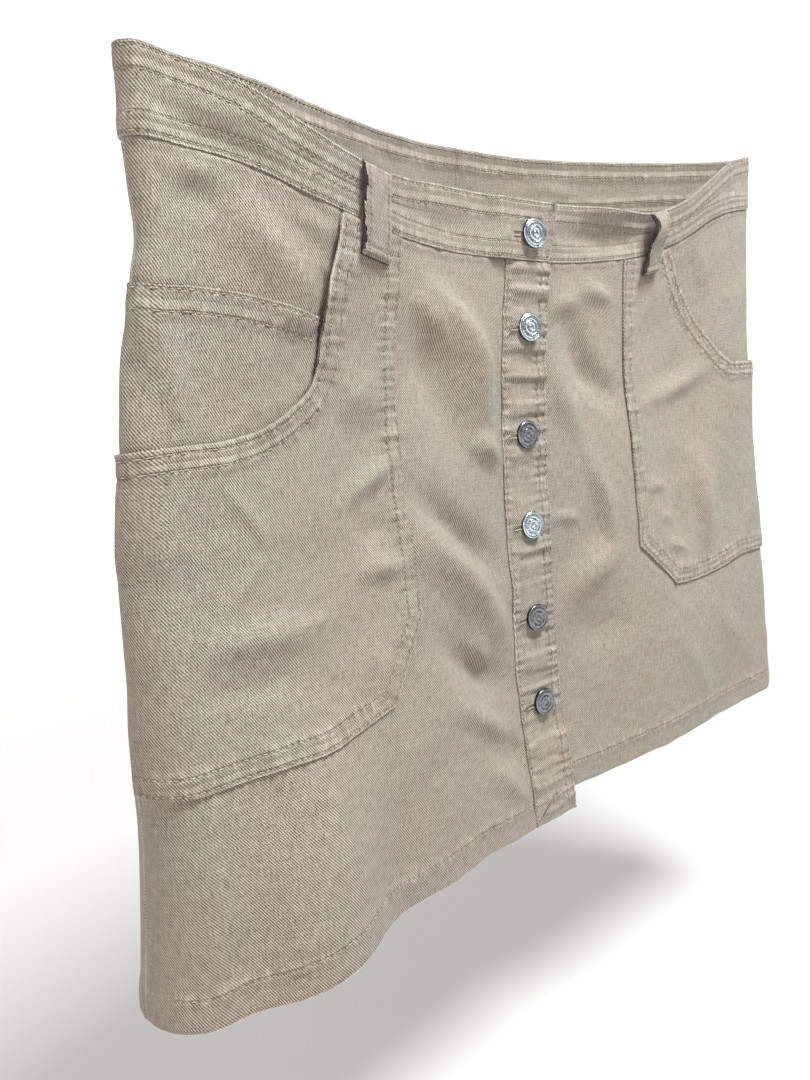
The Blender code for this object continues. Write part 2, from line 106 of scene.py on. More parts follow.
COIN_INNER = 0.149
COIN_BOTTOM = 0.205
LOOP_THICK = 0.0018


def table(names, *rows, plain=""):
    """Named columns of a short table. Its rows are in millimetres, except in the plain columns."""
    columns = dict(zip(names.split(), np.array(rows, float).T))
    return {name: column if name in plain.split() else column / 1000 for name, column in columns.items()}


# Level rings, as in the part: half width, radius of the side folds, how far the ring hangs towards +X, how
# far the front's middle stands back and how far it stands forward over each pocket, and the back's bow.
RINGS = table(
    "depth half_width fold sway hollow over_right over_left bow peak",
    (0, 247, 7, 0, 0, 13, 7, 52, 0.09),
    (70, 246, 7.5, -2.5, 2.5, 8.5, -1, 54.5, 0.08),
    (150, 254, 10, -10.5, 7, -1, -7.5, 56, 0.06),
    (240, 261, 17, -14, 12.5, -2, -6, 52, 0.04),
    (330, 266, 25, -15, 18, -2, -3, 44, 0.02),
    (430, 273, 32, -16.5, 14, -4, -2.5, 36, 0),
    plain="peak",
)
HOLLOW_SHARE = 0.5
OVER_SHARE = 0.36
OVER_MIDDLE = 0.6
BOW_POWER = 2.2
FLUTES = (
    {"face": "front", "middle": -0.7, "span": 0.2, "rise": 0.0205},
    {"face": "back", "middle": -0.42, "span": 0.26, "rise": 0.009},
    {"face": "back", "middle": 0.05, "span": 0.22, "rise": -0.006},
    {"face": "back", "middle": 0.5, "span": 0.28, "rise": 0.008},
)
FLUTE_TOP = 0.26
FLUTE_FULL = 0.432

WAIST = table(
    "distance top_front low_front top_back low_back",
    (-246, 0, 36.8, 0, 36.8), (-225, 2.5, 38.5, -2, 36.6), (-190, 11.5, 44.8, -2.5, 36.6),
    (-160, 27, 56.5, -1.5, 37), (-125, 40, 67.5, 0.5, 38), (-65, 43, 76.2, 1, 39),
    (0, 45.5, 79.5, 0, 39.5), (65, 45.5, 78, 0, 39), (125, 44.5, 70.5, 0, 38), (160, 34.5, 60.5, 0, 36.8),
    (190, 18.5, 47, -0.5, 35.8), (225, 2, 37.2, -2, 34.8), (254, -5, 33.5, -5, 33.5),
)

# Outlines of the patch pockets, by distance from the button line: the scooped mouth, and the bottom edge.
MOUTH_RIGHT = table(
    "distance depth",
    (143.5, 64), (146.5, 80), (150.5, 94), (152.5, 113), (153.5, 129), (158, 143), (173, 154.5),
    (187, 161), (206, 164.5),
)
BOTTOM_RIGHT = table(
    "distance depth",
    (127, 311), (142, 314), (156, 316.5), (169, 318.5), (192, 318), (222, 317.5),
)
MOUTH_LEFT = table(
    "distance depth",
    (144, 66.5), (150, 75.5), (156, 85), (165, 96), (176, 108), (188, 119), (201, 130), (213, 140),
    (226, 147.5),
)
BOTTOM_LEFT = table(
    "distance depth",
    (139, 301), (151, 302.5), (162, 303), (184, 302.5), (206, 299.5), (226, 295.5),
)
POCKETS = {
    "right": {
        "side": -1,
        "inner_top": 0.1035,
        "inner_low": (0.1005, 0.269),
        "mouth": MOUTH_RIGHT,
        "mouth_side": 0.166,
        "bottom": BOTTOM_RIGHT,
        "bottom_side": 0.3165,
    },
    "left": {
        "side": 1,
        "inner_top": 0.0915,
        "inner_low": (0.102, 0.267),
        "mouth": MOUTH_LEFT,
        "mouth_side": 0.1505,
        "bottom": BOTTOM_LEFT,
        "bottom_side": 0.2945,
    },
}
COIN_TOP = table(
    "distance depth",
    (149, 112.5), (170, 105.5), (189, 101), (205, 98.5), (219, 97),
)
COIN_SIDE_DEPTH = 0.0955
# How far the wearer's right side is drawn in, and over what share of the half width this fades.
SIDE_DENT = table(
    "depth pull",
    (0, 4.1), (20, 3), (34, 1.9), (55, 2.2), (80, 4), (91, 2.8), (101, 3.2), (110, 2.6), (120, 1.8),
    (150, 2.8), (163, 3), (172, 3.6), (190, 2.6), (210, 1.2), (250, 2.2), (270, 2.6), (290, 1.6),
    (310, 1.8), (335, 3), (370, 2.6), (430, 0),
)
DENT_SHARE = 0.22

# Main creases, each a soft ridge (+ height) or trough (-) from one place on the cloth to another. A bend
# swings its middle sideways. Its one flank is sharper than the other by the skew.
CREASES = table(
    "front start_distance start_depth end_distance end_depth bend width height skew",
    # wearer's right hip and coin pocket
    (1, -204, 54, -150, 114, 2, 10.5, 4.7, -0.2),
    (1, -230, 47, -196, 51, 0, 5, 2, 0),
    (1, -226, 58, -198, 64, 0, 6, -1.7, 0),
    (1, -172, 64, -144, 77, 1, 4.5, 1.9, 0),
    (1, -236, 100, -222, 170, 1, 6.5, 3, 0.2),
    (1, -246, 106, -238, 160, 1, 5.5, -1.9, 0),
    (1, -186, 108, -151, 116, 0, 4.5, 1.7, 0),
    # patch pocket on the wearer's right
    (1, -148, 146, -104, 154, 0, 13, 3.8, 0),
    (1, -210, 182, -186, 218, 0, 3.4, 1.7, 0),
    (1, -186, 216, -218, 244, 0, 3.4, 1.3, 0),
    (1, -147, 204, -102, 183, 2, 5.8, 3.7, 0),
    (1, -140, 220, -108, 216, 0, 6, -1.8, 0),
    (1, -142, 238, -106, 239, 1, 6.2, 3.8, 0),
    (1, -236, 255, -156, 261, 2, 8.5, 4.1, 0),
    (1, -236, 276, -172, 281, 1, 7.5, -1.9, 0),
    (1, -186, 254, -152, 256, 0, 3, 1.1, 0),
    (1, -158, 282, -114, 296, 2, 10, 2.2, 0),
    (1, -250, 196, -244, 250, 1, 10, -1.6, 0),
    # between the pocket and the button band
    (1, -90, 84, -27, 192, 17, 11.5, 9.1, -0.35),
    (1, -102, 106, -48, 206, 5, 14, -4.6, 0),
    (1, -94, 98, -62, 134, 2, 4.8, 2.5, 0),
    (1, -50, 178, -21, 196, 1, 6.5, 4.7, 0),
    (1, -104, 194, -21, 266, -2, 9.5, -6, 0),
    (1, -104, 212, -20, 312, 4, 11, 9.5, -0.2),
    (1, -68, 286, -42, 322, 0, 5, 2.9, 0),
    (1, -96, 280, -20, 338, -4, 10, -6, 0),
    (1, -88, 320, -20, 371, 0, 7.5, 5.6, 0),
    (1, -60, 368, -21, 410, 1, 6.2, 3.9, 0),
    (1, -40, 352, -20, 392, 1, 5.5, -2.5, 0),
    # wearer's left front and its pocket
    (1, 22, 108, 52, 100, 0, 7, 3.1, 0),
    (1, 36, 108, 94, 174, -8, 10, -6.6, 0),
    (1, 24, 126, 56, 198, -2, 9, 4.6, 0),
    (1, 48, 94, 86, 104, 1, 6, 3.5, 0),
    (1, 54, 190, 79, 266, 2, 6.2, 4.7, 0.2),
    (1, 20, 236, 50, 240, 1, 4.5, 2.5, 0),
    (1, 90, 262, 22, 296, -3, 12, 6.4, 0),
    (1, 28, 322, 96, 314, 0, 13, -3.1, 0),
    (1, 104, 174, 212, 146, -3, 7.5, 3.9, 0),
    (1, 176, 194, 191, 300, 2, 11, 5.6, 0.2),
    (1, 150, 204, 158, 286, -2, 10, -3.1, 0),
    (1, 110, 228, 142, 232, 1, 4.2, 2.3, 0),
    (1, 122, 250, 150, 256, 1, 4.2, 1.8, 0),
    (1, 126, 270, 164, 281, 1, 4.2, 2.5, 0),
    (1, 140, 289, 172, 294, 0, 3.6, 1.8, 0),
    (1, 126, 326, 176, 396, 2, 8, 2.1, 0),
    (1, 180, 318, 232, 384, 2, 8, 2.1, 0),
    (1, 172, 52, 196, 98, 2, 8, 2.1, 0),
    # waistband
    (1, 32, 49, 132, 44, 0, 5.5, 4.6, 0),
    (1, 34, 66.5, 116, 63.5, 0, 6.5, -4.2, 0),
    (1, 84, 56, 108, 55.5, 0, 2.2, 1, 0),
    (1, -236, 14, -170, 36, 1, 5.5, 1.7, 0),
    (1, -230, 26, -150, 56, 0, 5.5, -1.7, 0),
    (1, -108, 62, -30, 70, 1, 6, -1.4, 0),
    # low on the wearer's right
    (1, -178, 316, -184, 404, 1, 9, 1.6, 0),
    (1, -204, 318, -206, 366, 1, 8, -1.2, 0),
    (1, -238, 330, -246, 404, -2, 9, 1.2, 0),
    (1, -216, 398, -188, 404, 1, 4.5, 1.2, 0),
    (1, -130, 372, -84, 350, 2, 8, -1.2, 0),
    # back, hung as the front is
    (0, -190, 52, -120, 128, 6, 10, 6, -0.2),
    (0, -212, 140, -150, 196, -6, 9, -5.1, 0.2),
    (0, -60, 60, -100, 190, 8, 11, -5.1, 0.2),
    (0, -30, 150, -64, 290, -6, 10, 5.1, 0.2),
    (0, -160, 250, -120, 390, 8, 12, -5.1, 0.2),
    (0, 40, 70, 86, 180, 6, 10, 5.7, 0.2),
    (0, 70, 210, 40, 350, -6, 11, -4.8, 0.2),
    (0, 140, 58, 196, 110, 4, 9, -4.5, 0.3),
    (0, 120, 180, 200, 240, -6, 9, 5.4, 0.3),
    (0, 170, 270, 150, 400, 6, 12, 5.1, 0.2),
    (0, 20, 330, -40, 404, 4, 8, 3.3, 0.2),
    (0, -110, 14, -60, 26, 1, 6, -1.2, 0),
    (0, 60, 16, 120, 28, 1, 6, -1.2, 0),
    plain="front skew",
)


def read(columns, name, key, at):
    """A smooth curve through one column of a table, flat beyond its ends."""
    keys, values = columns[key], columns[name]
    at = np.clip(np.asarray(at, float), keys[0], keys[-1])
    slopes = np.gradient(values, keys)
    i = np.clip(np.searchsorted(keys, at) - 1, 0, len(keys) - 2)
    width = keys[i + 1] - keys[i]
    t = (at - keys[i]) / width
    return (
        (2 * t**3 - 3 * t**2 + 1) * values[i]
        + (t**3 - 2 * t**2 + t) * width * slopes[i]
        + (3 * t**2 - 2 * t**3) * values[i + 1]
        + (t**3 - t**2) * width * slopes[i + 1]
    )


def hump(x):
    """1 at x = 0, falling smoothly to 0 at x = -1 and 1."""
    return np.cos(np.clip(np.abs(x), 0, 1) * np.pi / 2) ** 2


def ease(x):
    """0 below x = 0, rising smoothly to 1 at x = 1."""
    t = np.clip(x, 0, 1)
    return t * t * (3 - 2 * t)


def waves(seed, x, length):
    """Smooth uneven waves along x, between about -1 and 1, with features about length long."""
    values = np.random.default_rng(seed).uniform(-1, 1, 4096)
    place = np.asarray(x) / length + 1000
    low = np.floor(place).astype(int)
    blend = ease(place - low)
    return values[low % 4096] * (1 - blend) + values[(low + 1) % 4096] * blend


def patches(seed, x, y, length):
    """Smooth uneven patches over a plane, between about -1 and 1."""
    values = np.random.default_rng(seed).uniform(-1, 1, (256, 256))
    place_x, place_y = np.asarray(x) / length + 100, np.asarray(y) / length + 100
    i, j = np.floor(place_x).astype(int), np.floor(place_y).astype(int)
    a, b = ease(place_x - i), ease(place_y - j)
    i, j = i % 255, j % 255
    top = values[i, j] * (1 - a) + values[i + 1, j] * a
    low = values[i, j + 1] * (1 - a) + values[i + 1, j + 1] * a
    return top * (1 - b) + low * b


def places(distance, depth):
    """Pairs of a distance and a depth."""
    return np.stack(np.broadcast_arrays(distance, depth), -1)


def run_along(line):
    """The length of a line up to each of its points."""
    return np.concatenate([[0], np.cumsum(np.linalg.norm(np.diff(line, axis=0), axis=1))])


def ring(face, share, depth):
    """Points of the cloth's inner side. share runs across the face, from -1 at the right side to 1."""
    half = read(RINGS, "half_width", "depth", depth)
    fold = read(RINGS, "fold", "depth", depth)
    into_fold = np.clip((np.abs(share) * half - (half - fold)) / fold, 0, 1)
    out = fold * np.sqrt(1 - into_fold**2)
    if face == "front":
        out = out - read(RINGS, "hollow", "depth", depth) * hump(share / HOLLOW_SHARE)
        out = out + read(RINGS, "over_right", "depth", depth) * hump((share + OVER_MIDDLE) / OVER_SHARE)
        out = out + read(RINGS, "over_left", "depth", depth) * hump((share - OVER_MIDDLE) / OVER_SHARE)
    else:
        from_peak = share - read(RINGS, "peak", "depth", depth) * (1 - share**2)
        round_off = np.clip(1 - from_peak**2, 0, 1) ** BOW_POWER
        out = out + read(RINGS, "bow", "depth", depth) * round_off
    opened = ease((depth - FLUTE_TOP) / (FLUTE_FULL - FLUTE_TOP))
    for flute in FLUTES:
        if flute["face"] == face:
            out = out + flute["rise"] * opened * hump((share - flute["middle"]) / flute["span"])
    dent = read(SIDE_DENT, "pull", "depth", depth) * ease((DENT_SHARE - 1 - share) / DENT_SHARE)
    x = read(RINGS, "sway", "depth", depth) + share * half + dent
    y = -out if face == "front" else out
    return np.stack([x, y, -depth + 0 * share], -1)


LEVEL_STEP = 0.004
LEVELS = np.arange(0, 0.44, LEVEL_STEP)
SHARES = np.sin(np.linspace(-np.pi / 2, np.pi / 2, 481))


def measured_rings(face):
    """For each level, the distance from the centre line at each of SHARES."""
    lengths = []
    for depth in LEVELS:
        run = run_along(ring(face, SHARES, depth))
        lengths.append(run - np.interp(0, SHARES, run) - (CENTRE_SHIFT if face == "front" else 0))
    return np.array(lengths)


LENGTHS = {face: measured_rings(face) for face in ("front", "back")}


def share_at(face, distance, depth):
    """The share across the face at a distance from its centre line."""
    distance, depth = np.broadcast_arrays(np.asarray(distance, float), np.asarray(depth, float))
    place = np.clip(depth / LEVEL_STEP, 0, len(LEVELS) - 1.001)
    low = place.astype(int)
    share = np.empty(distance.shape)
    for level in np.unique(low):
        here = low == level
        above = np.interp(distance[here], LENGTHS[face][level], SHARES)
        below = np.interp(distance[here], LENGTHS[face][level + 1], SHARES)
        share[here] = above + (below - above) * (place[here] - level)
    return share


def side_at(face, side, depth):
    """The distance of the side seam, where side is -1 on the wearer's right and 1 on the left."""
    return np.interp(depth, LEVELS, np.abs(LENGTHS[face][:, -1 if side > 0 else 0]))


def distance_at(face, side, across, depth):
    """The distance of a place across a face: 0 at the side seam, 1 past its fold, 2 at the centre line."""
    seam = side_at(face, side, depth) - SEAM_GAP / 2
    turn = read(RINGS, "fold", "depth", depth) * np.pi / 2
    return side * np.where(across < 1, seam - across * turn, (seam - turn) * (2 - across))


def across_at(face, side, distance, depth):
    """The place across a face at a positive distance: distance_at turned round."""
    seam = side_at(face, side, depth) - SEAM_GAP / 2
    turn = read(RINGS, "fold", "depth", depth) * np.pi / 2
    return np.where(distance > seam - turn, (seam - distance) / turn, 2 - distance / (seam - turn))


def waist_edge(face, edge, distance):
    """The depth of the waistband's top or low edge at a distance from the centre line of its face."""
    return read(WAIST, f"{edge}_{face}", "distance", distance)


# Seed, size and height of soft patches all over the cloth.
UNEVEN = ((3, 0.055, 0.0012), (4, 0.02, 0.0006), (5, 0.011, 0.0003))


def relief(face, distance, depth):
    """Height of the soft creases at a place on the cloth."""
    height = np.zeros(np.broadcast(distance, depth).shape)
    for k in range(len(CREASES["width"])):
        crease = {name: column[k] for name, column in CREASES.items()}
        if bool(crease["front"]) != (face == "front"):
            continue
        start = crease["start_distance"], crease["start_depth"]
        run = np.array([crease["end_distance"] - start[0], crease["end_depth"] - start[1]])
        length = np.linalg.norm(run)
        run = run / length
        from_start = distance - start[0], depth - start[1]
        along = (from_start[0] * run[0] + from_start[1] * run[1]) / length
        away = from_start[0] * run[1] - from_start[1] * run[0]
        away = away - crease["bend"] * hump(2 * along - 1)
        width = crease["width"] * (1 + crease["skew"] * np.tanh(away / crease["width"]))
        height += crease["height"] * hump(1.8 * along - 0.9) ** 0.8 * np.exp(-((away / width) ** 2))
    side = np.where(distance > 0, side_at(face, 1, depth), side_at(face, -1, depth))
    from_side = ease((side - np.abs(distance)) / 0.03)
    for seed, size, rise in UNEVEN:
        height += rise * from_side * patches(seed, distance + 0.3 * depth, depth * 0.8, size)
    return height


SLOPE_STEP = 0.0005


def on_cloth(face, distance, depth, lift):
    """Points of the creased cloth at a distance and a depth, lifted outwards off its inner side."""
    distance, depth = np.broadcast_arrays(np.asarray(distance, float), np.asarray(depth, float))
    steps = (-SLOPE_STEP, SLOPE_STEP)
    near = [ring(face, share_at(face, distance + step, depth), depth) for step in steps]
    low = [ring(face, share_at(face, distance, depth + step), depth + step) for step in steps]
    out = np.cross(low[1] - low[0], near[1] - near[0]) * (1 if face == "front" else -1)
    out = out / np.maximum(np.linalg.norm(out, axis=-1, keepdims=True), 1e-12)
    height = np.asarray(lift) + relief(face, distance, depth)
    return ring(face, share_at(face, distance, depth), depth) + out * height[..., None]


def shares(length, pitch):
    """Shares from 0 to 1 a pitch apart, with one close step at each end for the edge's rounding."""
    inner = np.linspace(EDGE_ROLL / length, 1 - EDGE_ROLL / length, max(int(length / pitch), 2))
    return np.concatenate([[0], inner, [1]])


def points_at(line, at):
    """Points of a line at lengths along it."""
    run = run_along(line)
    return places(np.interp(at, run, line[:, 0]), np.interp(at, run, line[:, 1]))


def even(line, step=0.003):
    """A line of (distance, depth) at even steps."""
    length = run_along(line)[-1]
    return points_at(line, np.linspace(0, length, max(int(length / step), 1) + 1))


def beside(line, distance, depth):
    """For each place, how far along a line it is and how far from it."""
    starts, runs = line[:-1], np.diff(line, axis=0)
    lengths = np.linalg.norm(runs, axis=1)
    before = np.concatenate([[0], np.cumsum(lengths)])[:-1]
    best_away = np.full(np.shape(distance), np.inf)
    best_along = np.zeros(np.shape(distance))
    for start, run, length, offset in zip(starts, runs, lengths, before):
        from_start = distance - start[0], depth - start[1]
        t = np.clip((from_start[0] * run[0] + from_start[1] * run[1]) / length**2, 0, 1)
        away = np.hypot(from_start[0] - t * run[0], from_start[1] - t * run[1])
        nearer = away < best_away
        best_away = np.where(nearer, away, best_away)
        best_along = np.where(nearer, offset + t * length, best_along)
    return best_along, best_away


def shifted(line, offset):
    """A line moved sideways in the plane of the cloth, without the loops this makes inside its corners."""
    run = np.gradient(line, axis=0)
    run = run / np.linalg.norm(run, axis=1, keepdims=True)
    moved = line + offset * np.stack([-run[:, 1], run[:, 0]], -1)
    away = beside(line, *moved.T)[1]
    return even(moved[away > abs(offset) * 0.96])


def seam(line, offsets, inner=1):
    """Stitch rows at offsets from an edge. inner says on which side of the line the piece lies."""
    line = even(line)
    rows = [shifted(line, inner * offset) for offset in offsets]
    first, second = (tuple(offsets) + (NO_ROW, NO_ROW))[:2]
    return {"line": line, "rows": rows, "first": first, "second": second}


def nearest_seam(seams, distance, depth):
    """For each place: along and away from the nearest seam's edge, and off its first and second rows."""
    best = [np.zeros(np.shape(distance)), np.full(np.shape(distance), NO_ROW)]
    best += [np.full(np.shape(distance), -NO_ROW), np.full(np.shape(distance), -NO_ROW)]
    for number, one in enumerate(seams):
        along, away = beside(one["line"], distance, depth)
        values = [along + 1.7 * number, away, away - one["first"], away - one["second"]]
        nearer = away < best[1]
        best = [np.where(nearer, value, before) for value, before in zip(values, best)]
    return best


def sewn_relief(along, _, first, second, strength=1.0):
    """How seams shape the cloth: a thicker edge, puckers between its rows, and a groove under each row."""
    last = np.where(second > -NO_ROW / 2, second, first)
    thicker = 0.00035 * ease((0.0008 - last) / 0.0014) * (last > -NO_ROW / 2)
    near = np.exp(-((np.minimum(np.abs(first), np.abs(second)) / 0.005) ** 2))
    even_beads = np.sin(2 * np.pi * along / PUCKER + 1.5 * waves(8, along, 0.02))
    beads = 0.6 * even_beads + 0.7 * waves(7, along, PUCKER / 2)
    pucker = PUCKER_RISE * strength * beads * near
    groove = np.exp(-((first / 0.0011) ** 2)) + np.exp(-((second / 0.0011) ** 2))
    return thicker + pucker - 0.00026 * groove


def mesh_object(name, points, faces, finish, uvs=()):
    """An object from numpy points and quads or triangles, with named UV maps given per point."""
    data = bpy.data.meshes.new(name)
    data.from_pydata(points.tolist(), [], faces.tolist() if hasattr(faces, "tolist") else faces)
    corners = np.empty(len(data.loops), int)
    data.loops.foreach_get("vertex_index", corners)
    for uv_name, uv in uvs:
        layer = data.uv_layers.new(name=uv_name)
        layer.data.foreach_set("uv", uv[corners].astype(np.float32).ravel())
    data.materials.append(finish)
    data.shade_smooth()
    made = bpy.data.objects.new(name, data)
    bpy.context.collection.objects.link(made)
    return made


def grid_faces(rows, columns, first, flip):
    i, j = np.meshgrid(np.arange(rows - 1), np.arange(columns - 1), indexing="ij")
    a = first + (i * columns + j).ravel()
    quads = np.stack([a, a + columns, a + columns + 1, a + 1], -1)
    return quads[:, ::-1] if flip else quads


def closed_sheet(name, outer, inner, turned, finish, maps):
    """A closed thin mesh from two grids of points, joined round their rim. maps has a UV pair per place."""
    shape = outer.shape[:2]
    count = shape[0] * shape[1]
    index = np.arange(count).reshape(shape)
    rim = np.concatenate([index[0], index[1:, -1], index[-1, -2::-1], index[-2:0:-1, 0]])
    after = np.roll(rim, -1)
    side = np.stack([rim, after, after + count, rim + count], -1)
    faces = [grid_faces(*shape, 0, turned), grid_faces(*shape, count, not turned)]
    faces.append(side if turned else side[:, ::-1])
    uvs = [(key, np.tile(np.stack(pair, -1).reshape(-1, 2), (2, 1))) for key, pair in maps.items()]
    points = np.concatenate([outer.reshape(-1, 3), inner.reshape(-1, 3)])
    return mesh_object(name, points, np.concatenate(faces), finish, uvs)


def placed(made, node):
    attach(made, "root")
    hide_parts(node)


STITCH_ROWS = []  # each (face, line of (distance, depth), lift of the thread, 1 outside or -1 inside)


def cloth(
    name, face, distance, depth, lift, thick, seams, rests_on,
    thick_in=0.0, top_at=None, strength=1.0, to_side=False,
):
    """A cloth shell over a grid of places that stands for its CAD node, with the size it was cut to.

    lift is the height of its inner side, and top_at the height of its outer side at the stitch rows.
    strength says how much its seams pucker. to_side: its first column is sewn to the other face.
    """
    border = np.zeros(distance.shape)
    border[[0, -1], :] = 1
    border[:, [0, -1]] = 1
    sewn_uv = nearest_seam(seams, distance, depth)
    sewn_height = sewn_relief(*sewn_uv, strength)
    half = thick * (0.5 - 0.3 * border)
    outer = on_cloth(face, distance, depth, lift + thick / 2 + half + sewn_height)
    inner = on_cloth(face, distance, depth, lift + thick / 2 - half - thick_in + np.minimum(sewn_height, 0))
    if to_side:
        for grid in (outer, inner):
            grid[:, 0, 1] = SIDE_LAP if face == "front" else -SIDE_LAP
    turned = (face == "front") == (distance[0, -1] < distance[0, 0])
    grain = 0.0137 * (sum(map(ord, name)) % 17)
    maps = {
        "weave": (distance + grain, -depth + grain),
        "seam": (sewn_uv[0], sewn_uv[1]),
        "rows": (sewn_uv[2], sewn_uv[3]),
    }
    made = closed_sheet(name + "_cloth", outer, inner, turned, DENIM, maps)
    placed(made, name)
    for one in seams:
        for row in one["rows"]:
            top = top_at(*row.T) if top_at else np.full(len(row), CLOTH)
            raised = sewn_relief(*nearest_seam([one], *row.T), strength)
            STITCH_ROWS.append((face, row, top + raised, 1))
    return made


# --- Materials ---------------------------------------------------------------


class Nodes:
    """A small helper for building one material's node tree."""

    def __init__(self, name):
        self.material = bpy.data.materials.new(name)
        self.material.use_nodes = True
        self.tree = self.material.node_tree
        self.shader = self.tree.nodes["Principled BSDF"]

    def put(self, target, value):
        if isinstance(value, bpy.types.NodeSocket):
            self.tree.links.new(value, target)
        else:
            target.default_value = value

    def fill(self, node, inputs):
        """Sets or links a node's inputs by name."""
        for key, value in inputs.items():
            self.put(node.inputs[key], value)
        return node

    def add(self, kind, inputs=None, **settings):
        node = self.tree.nodes.new(kind)
        for key, value in settings.items():
            setattr(node, key, value)
        return self.fill(node, inputs or {})

    def finish(self, inputs, height=None, distance=1.0):
        """The material, with the shader's inputs and a bump."""
        if height is not None:
            bump = self.add("ShaderNodeBump", {"Distance": distance, "Height": height})
            inputs["Normal"] = bump.outputs[0]
        self.fill(self.shader, inputs)
        return self.material

    def math(self, operation, a, b=0.0, c=0.0):
        node = self.add("ShaderNodeMath", operation=operation)
        for target, value in zip(node.inputs, (a, b, c)):
            self.put(target, value)
        return node.outputs[0]

    def plus(self, a, b):
        return self.math("ADD", a, b)

    def minus(self, a, b):
        return self.math("SUBTRACT", a, b)

    def times(self, a, b):
        return self.math("MULTIPLY", a, b)

    def smooth(self, value, nought, one):
        """0 where the value is at nought or beyond, rising smoothly to 1 at one."""
        inputs = {"Value": value, "From Min": nought, "From Max": one}
        return self.add("ShaderNodeMapRange", inputs, interpolation_type="SMOOTHSTEP").outputs[0]

    def uv(self, name):
        uv_map = self.add("ShaderNodeUVMap", uv_map=name)
        split = self.add("ShaderNodeSeparateXYZ", {"Vector": uv_map.outputs[0]})
        return split.outputs[0], split.outputs[1]

    def point(self, x, y, z=0.0):
        return self.add("ShaderNodeCombineXYZ", {"X": x, "Y": y, "Z": z}).outputs[0]

    def noise(self, vector, scale, detail=2.0, rough=0.5):
        inputs = {"Vector": vector, "Scale": scale, "Detail": detail, "Roughness": rough}
        return self.add("ShaderNodeTexNoise", inputs).outputs["Fac"]

    def mix(self, factor, a, b, blend="MIX"):
        inputs = {"Factor": factor, "A": a, "B": b}
        return self.add("ShaderNodeMix", inputs, data_type="RGBA", blend_type=blend).outputs["Result"]

    def spread(self, value, low, high, to_low=0.0, to_high=1.0):
        inputs = {"Value": value, "From Min": low, "From Max": high, "To Min": to_low, "To Max": to_high}
        return self.add("ShaderNodeMapRange", inputs).outputs[0]


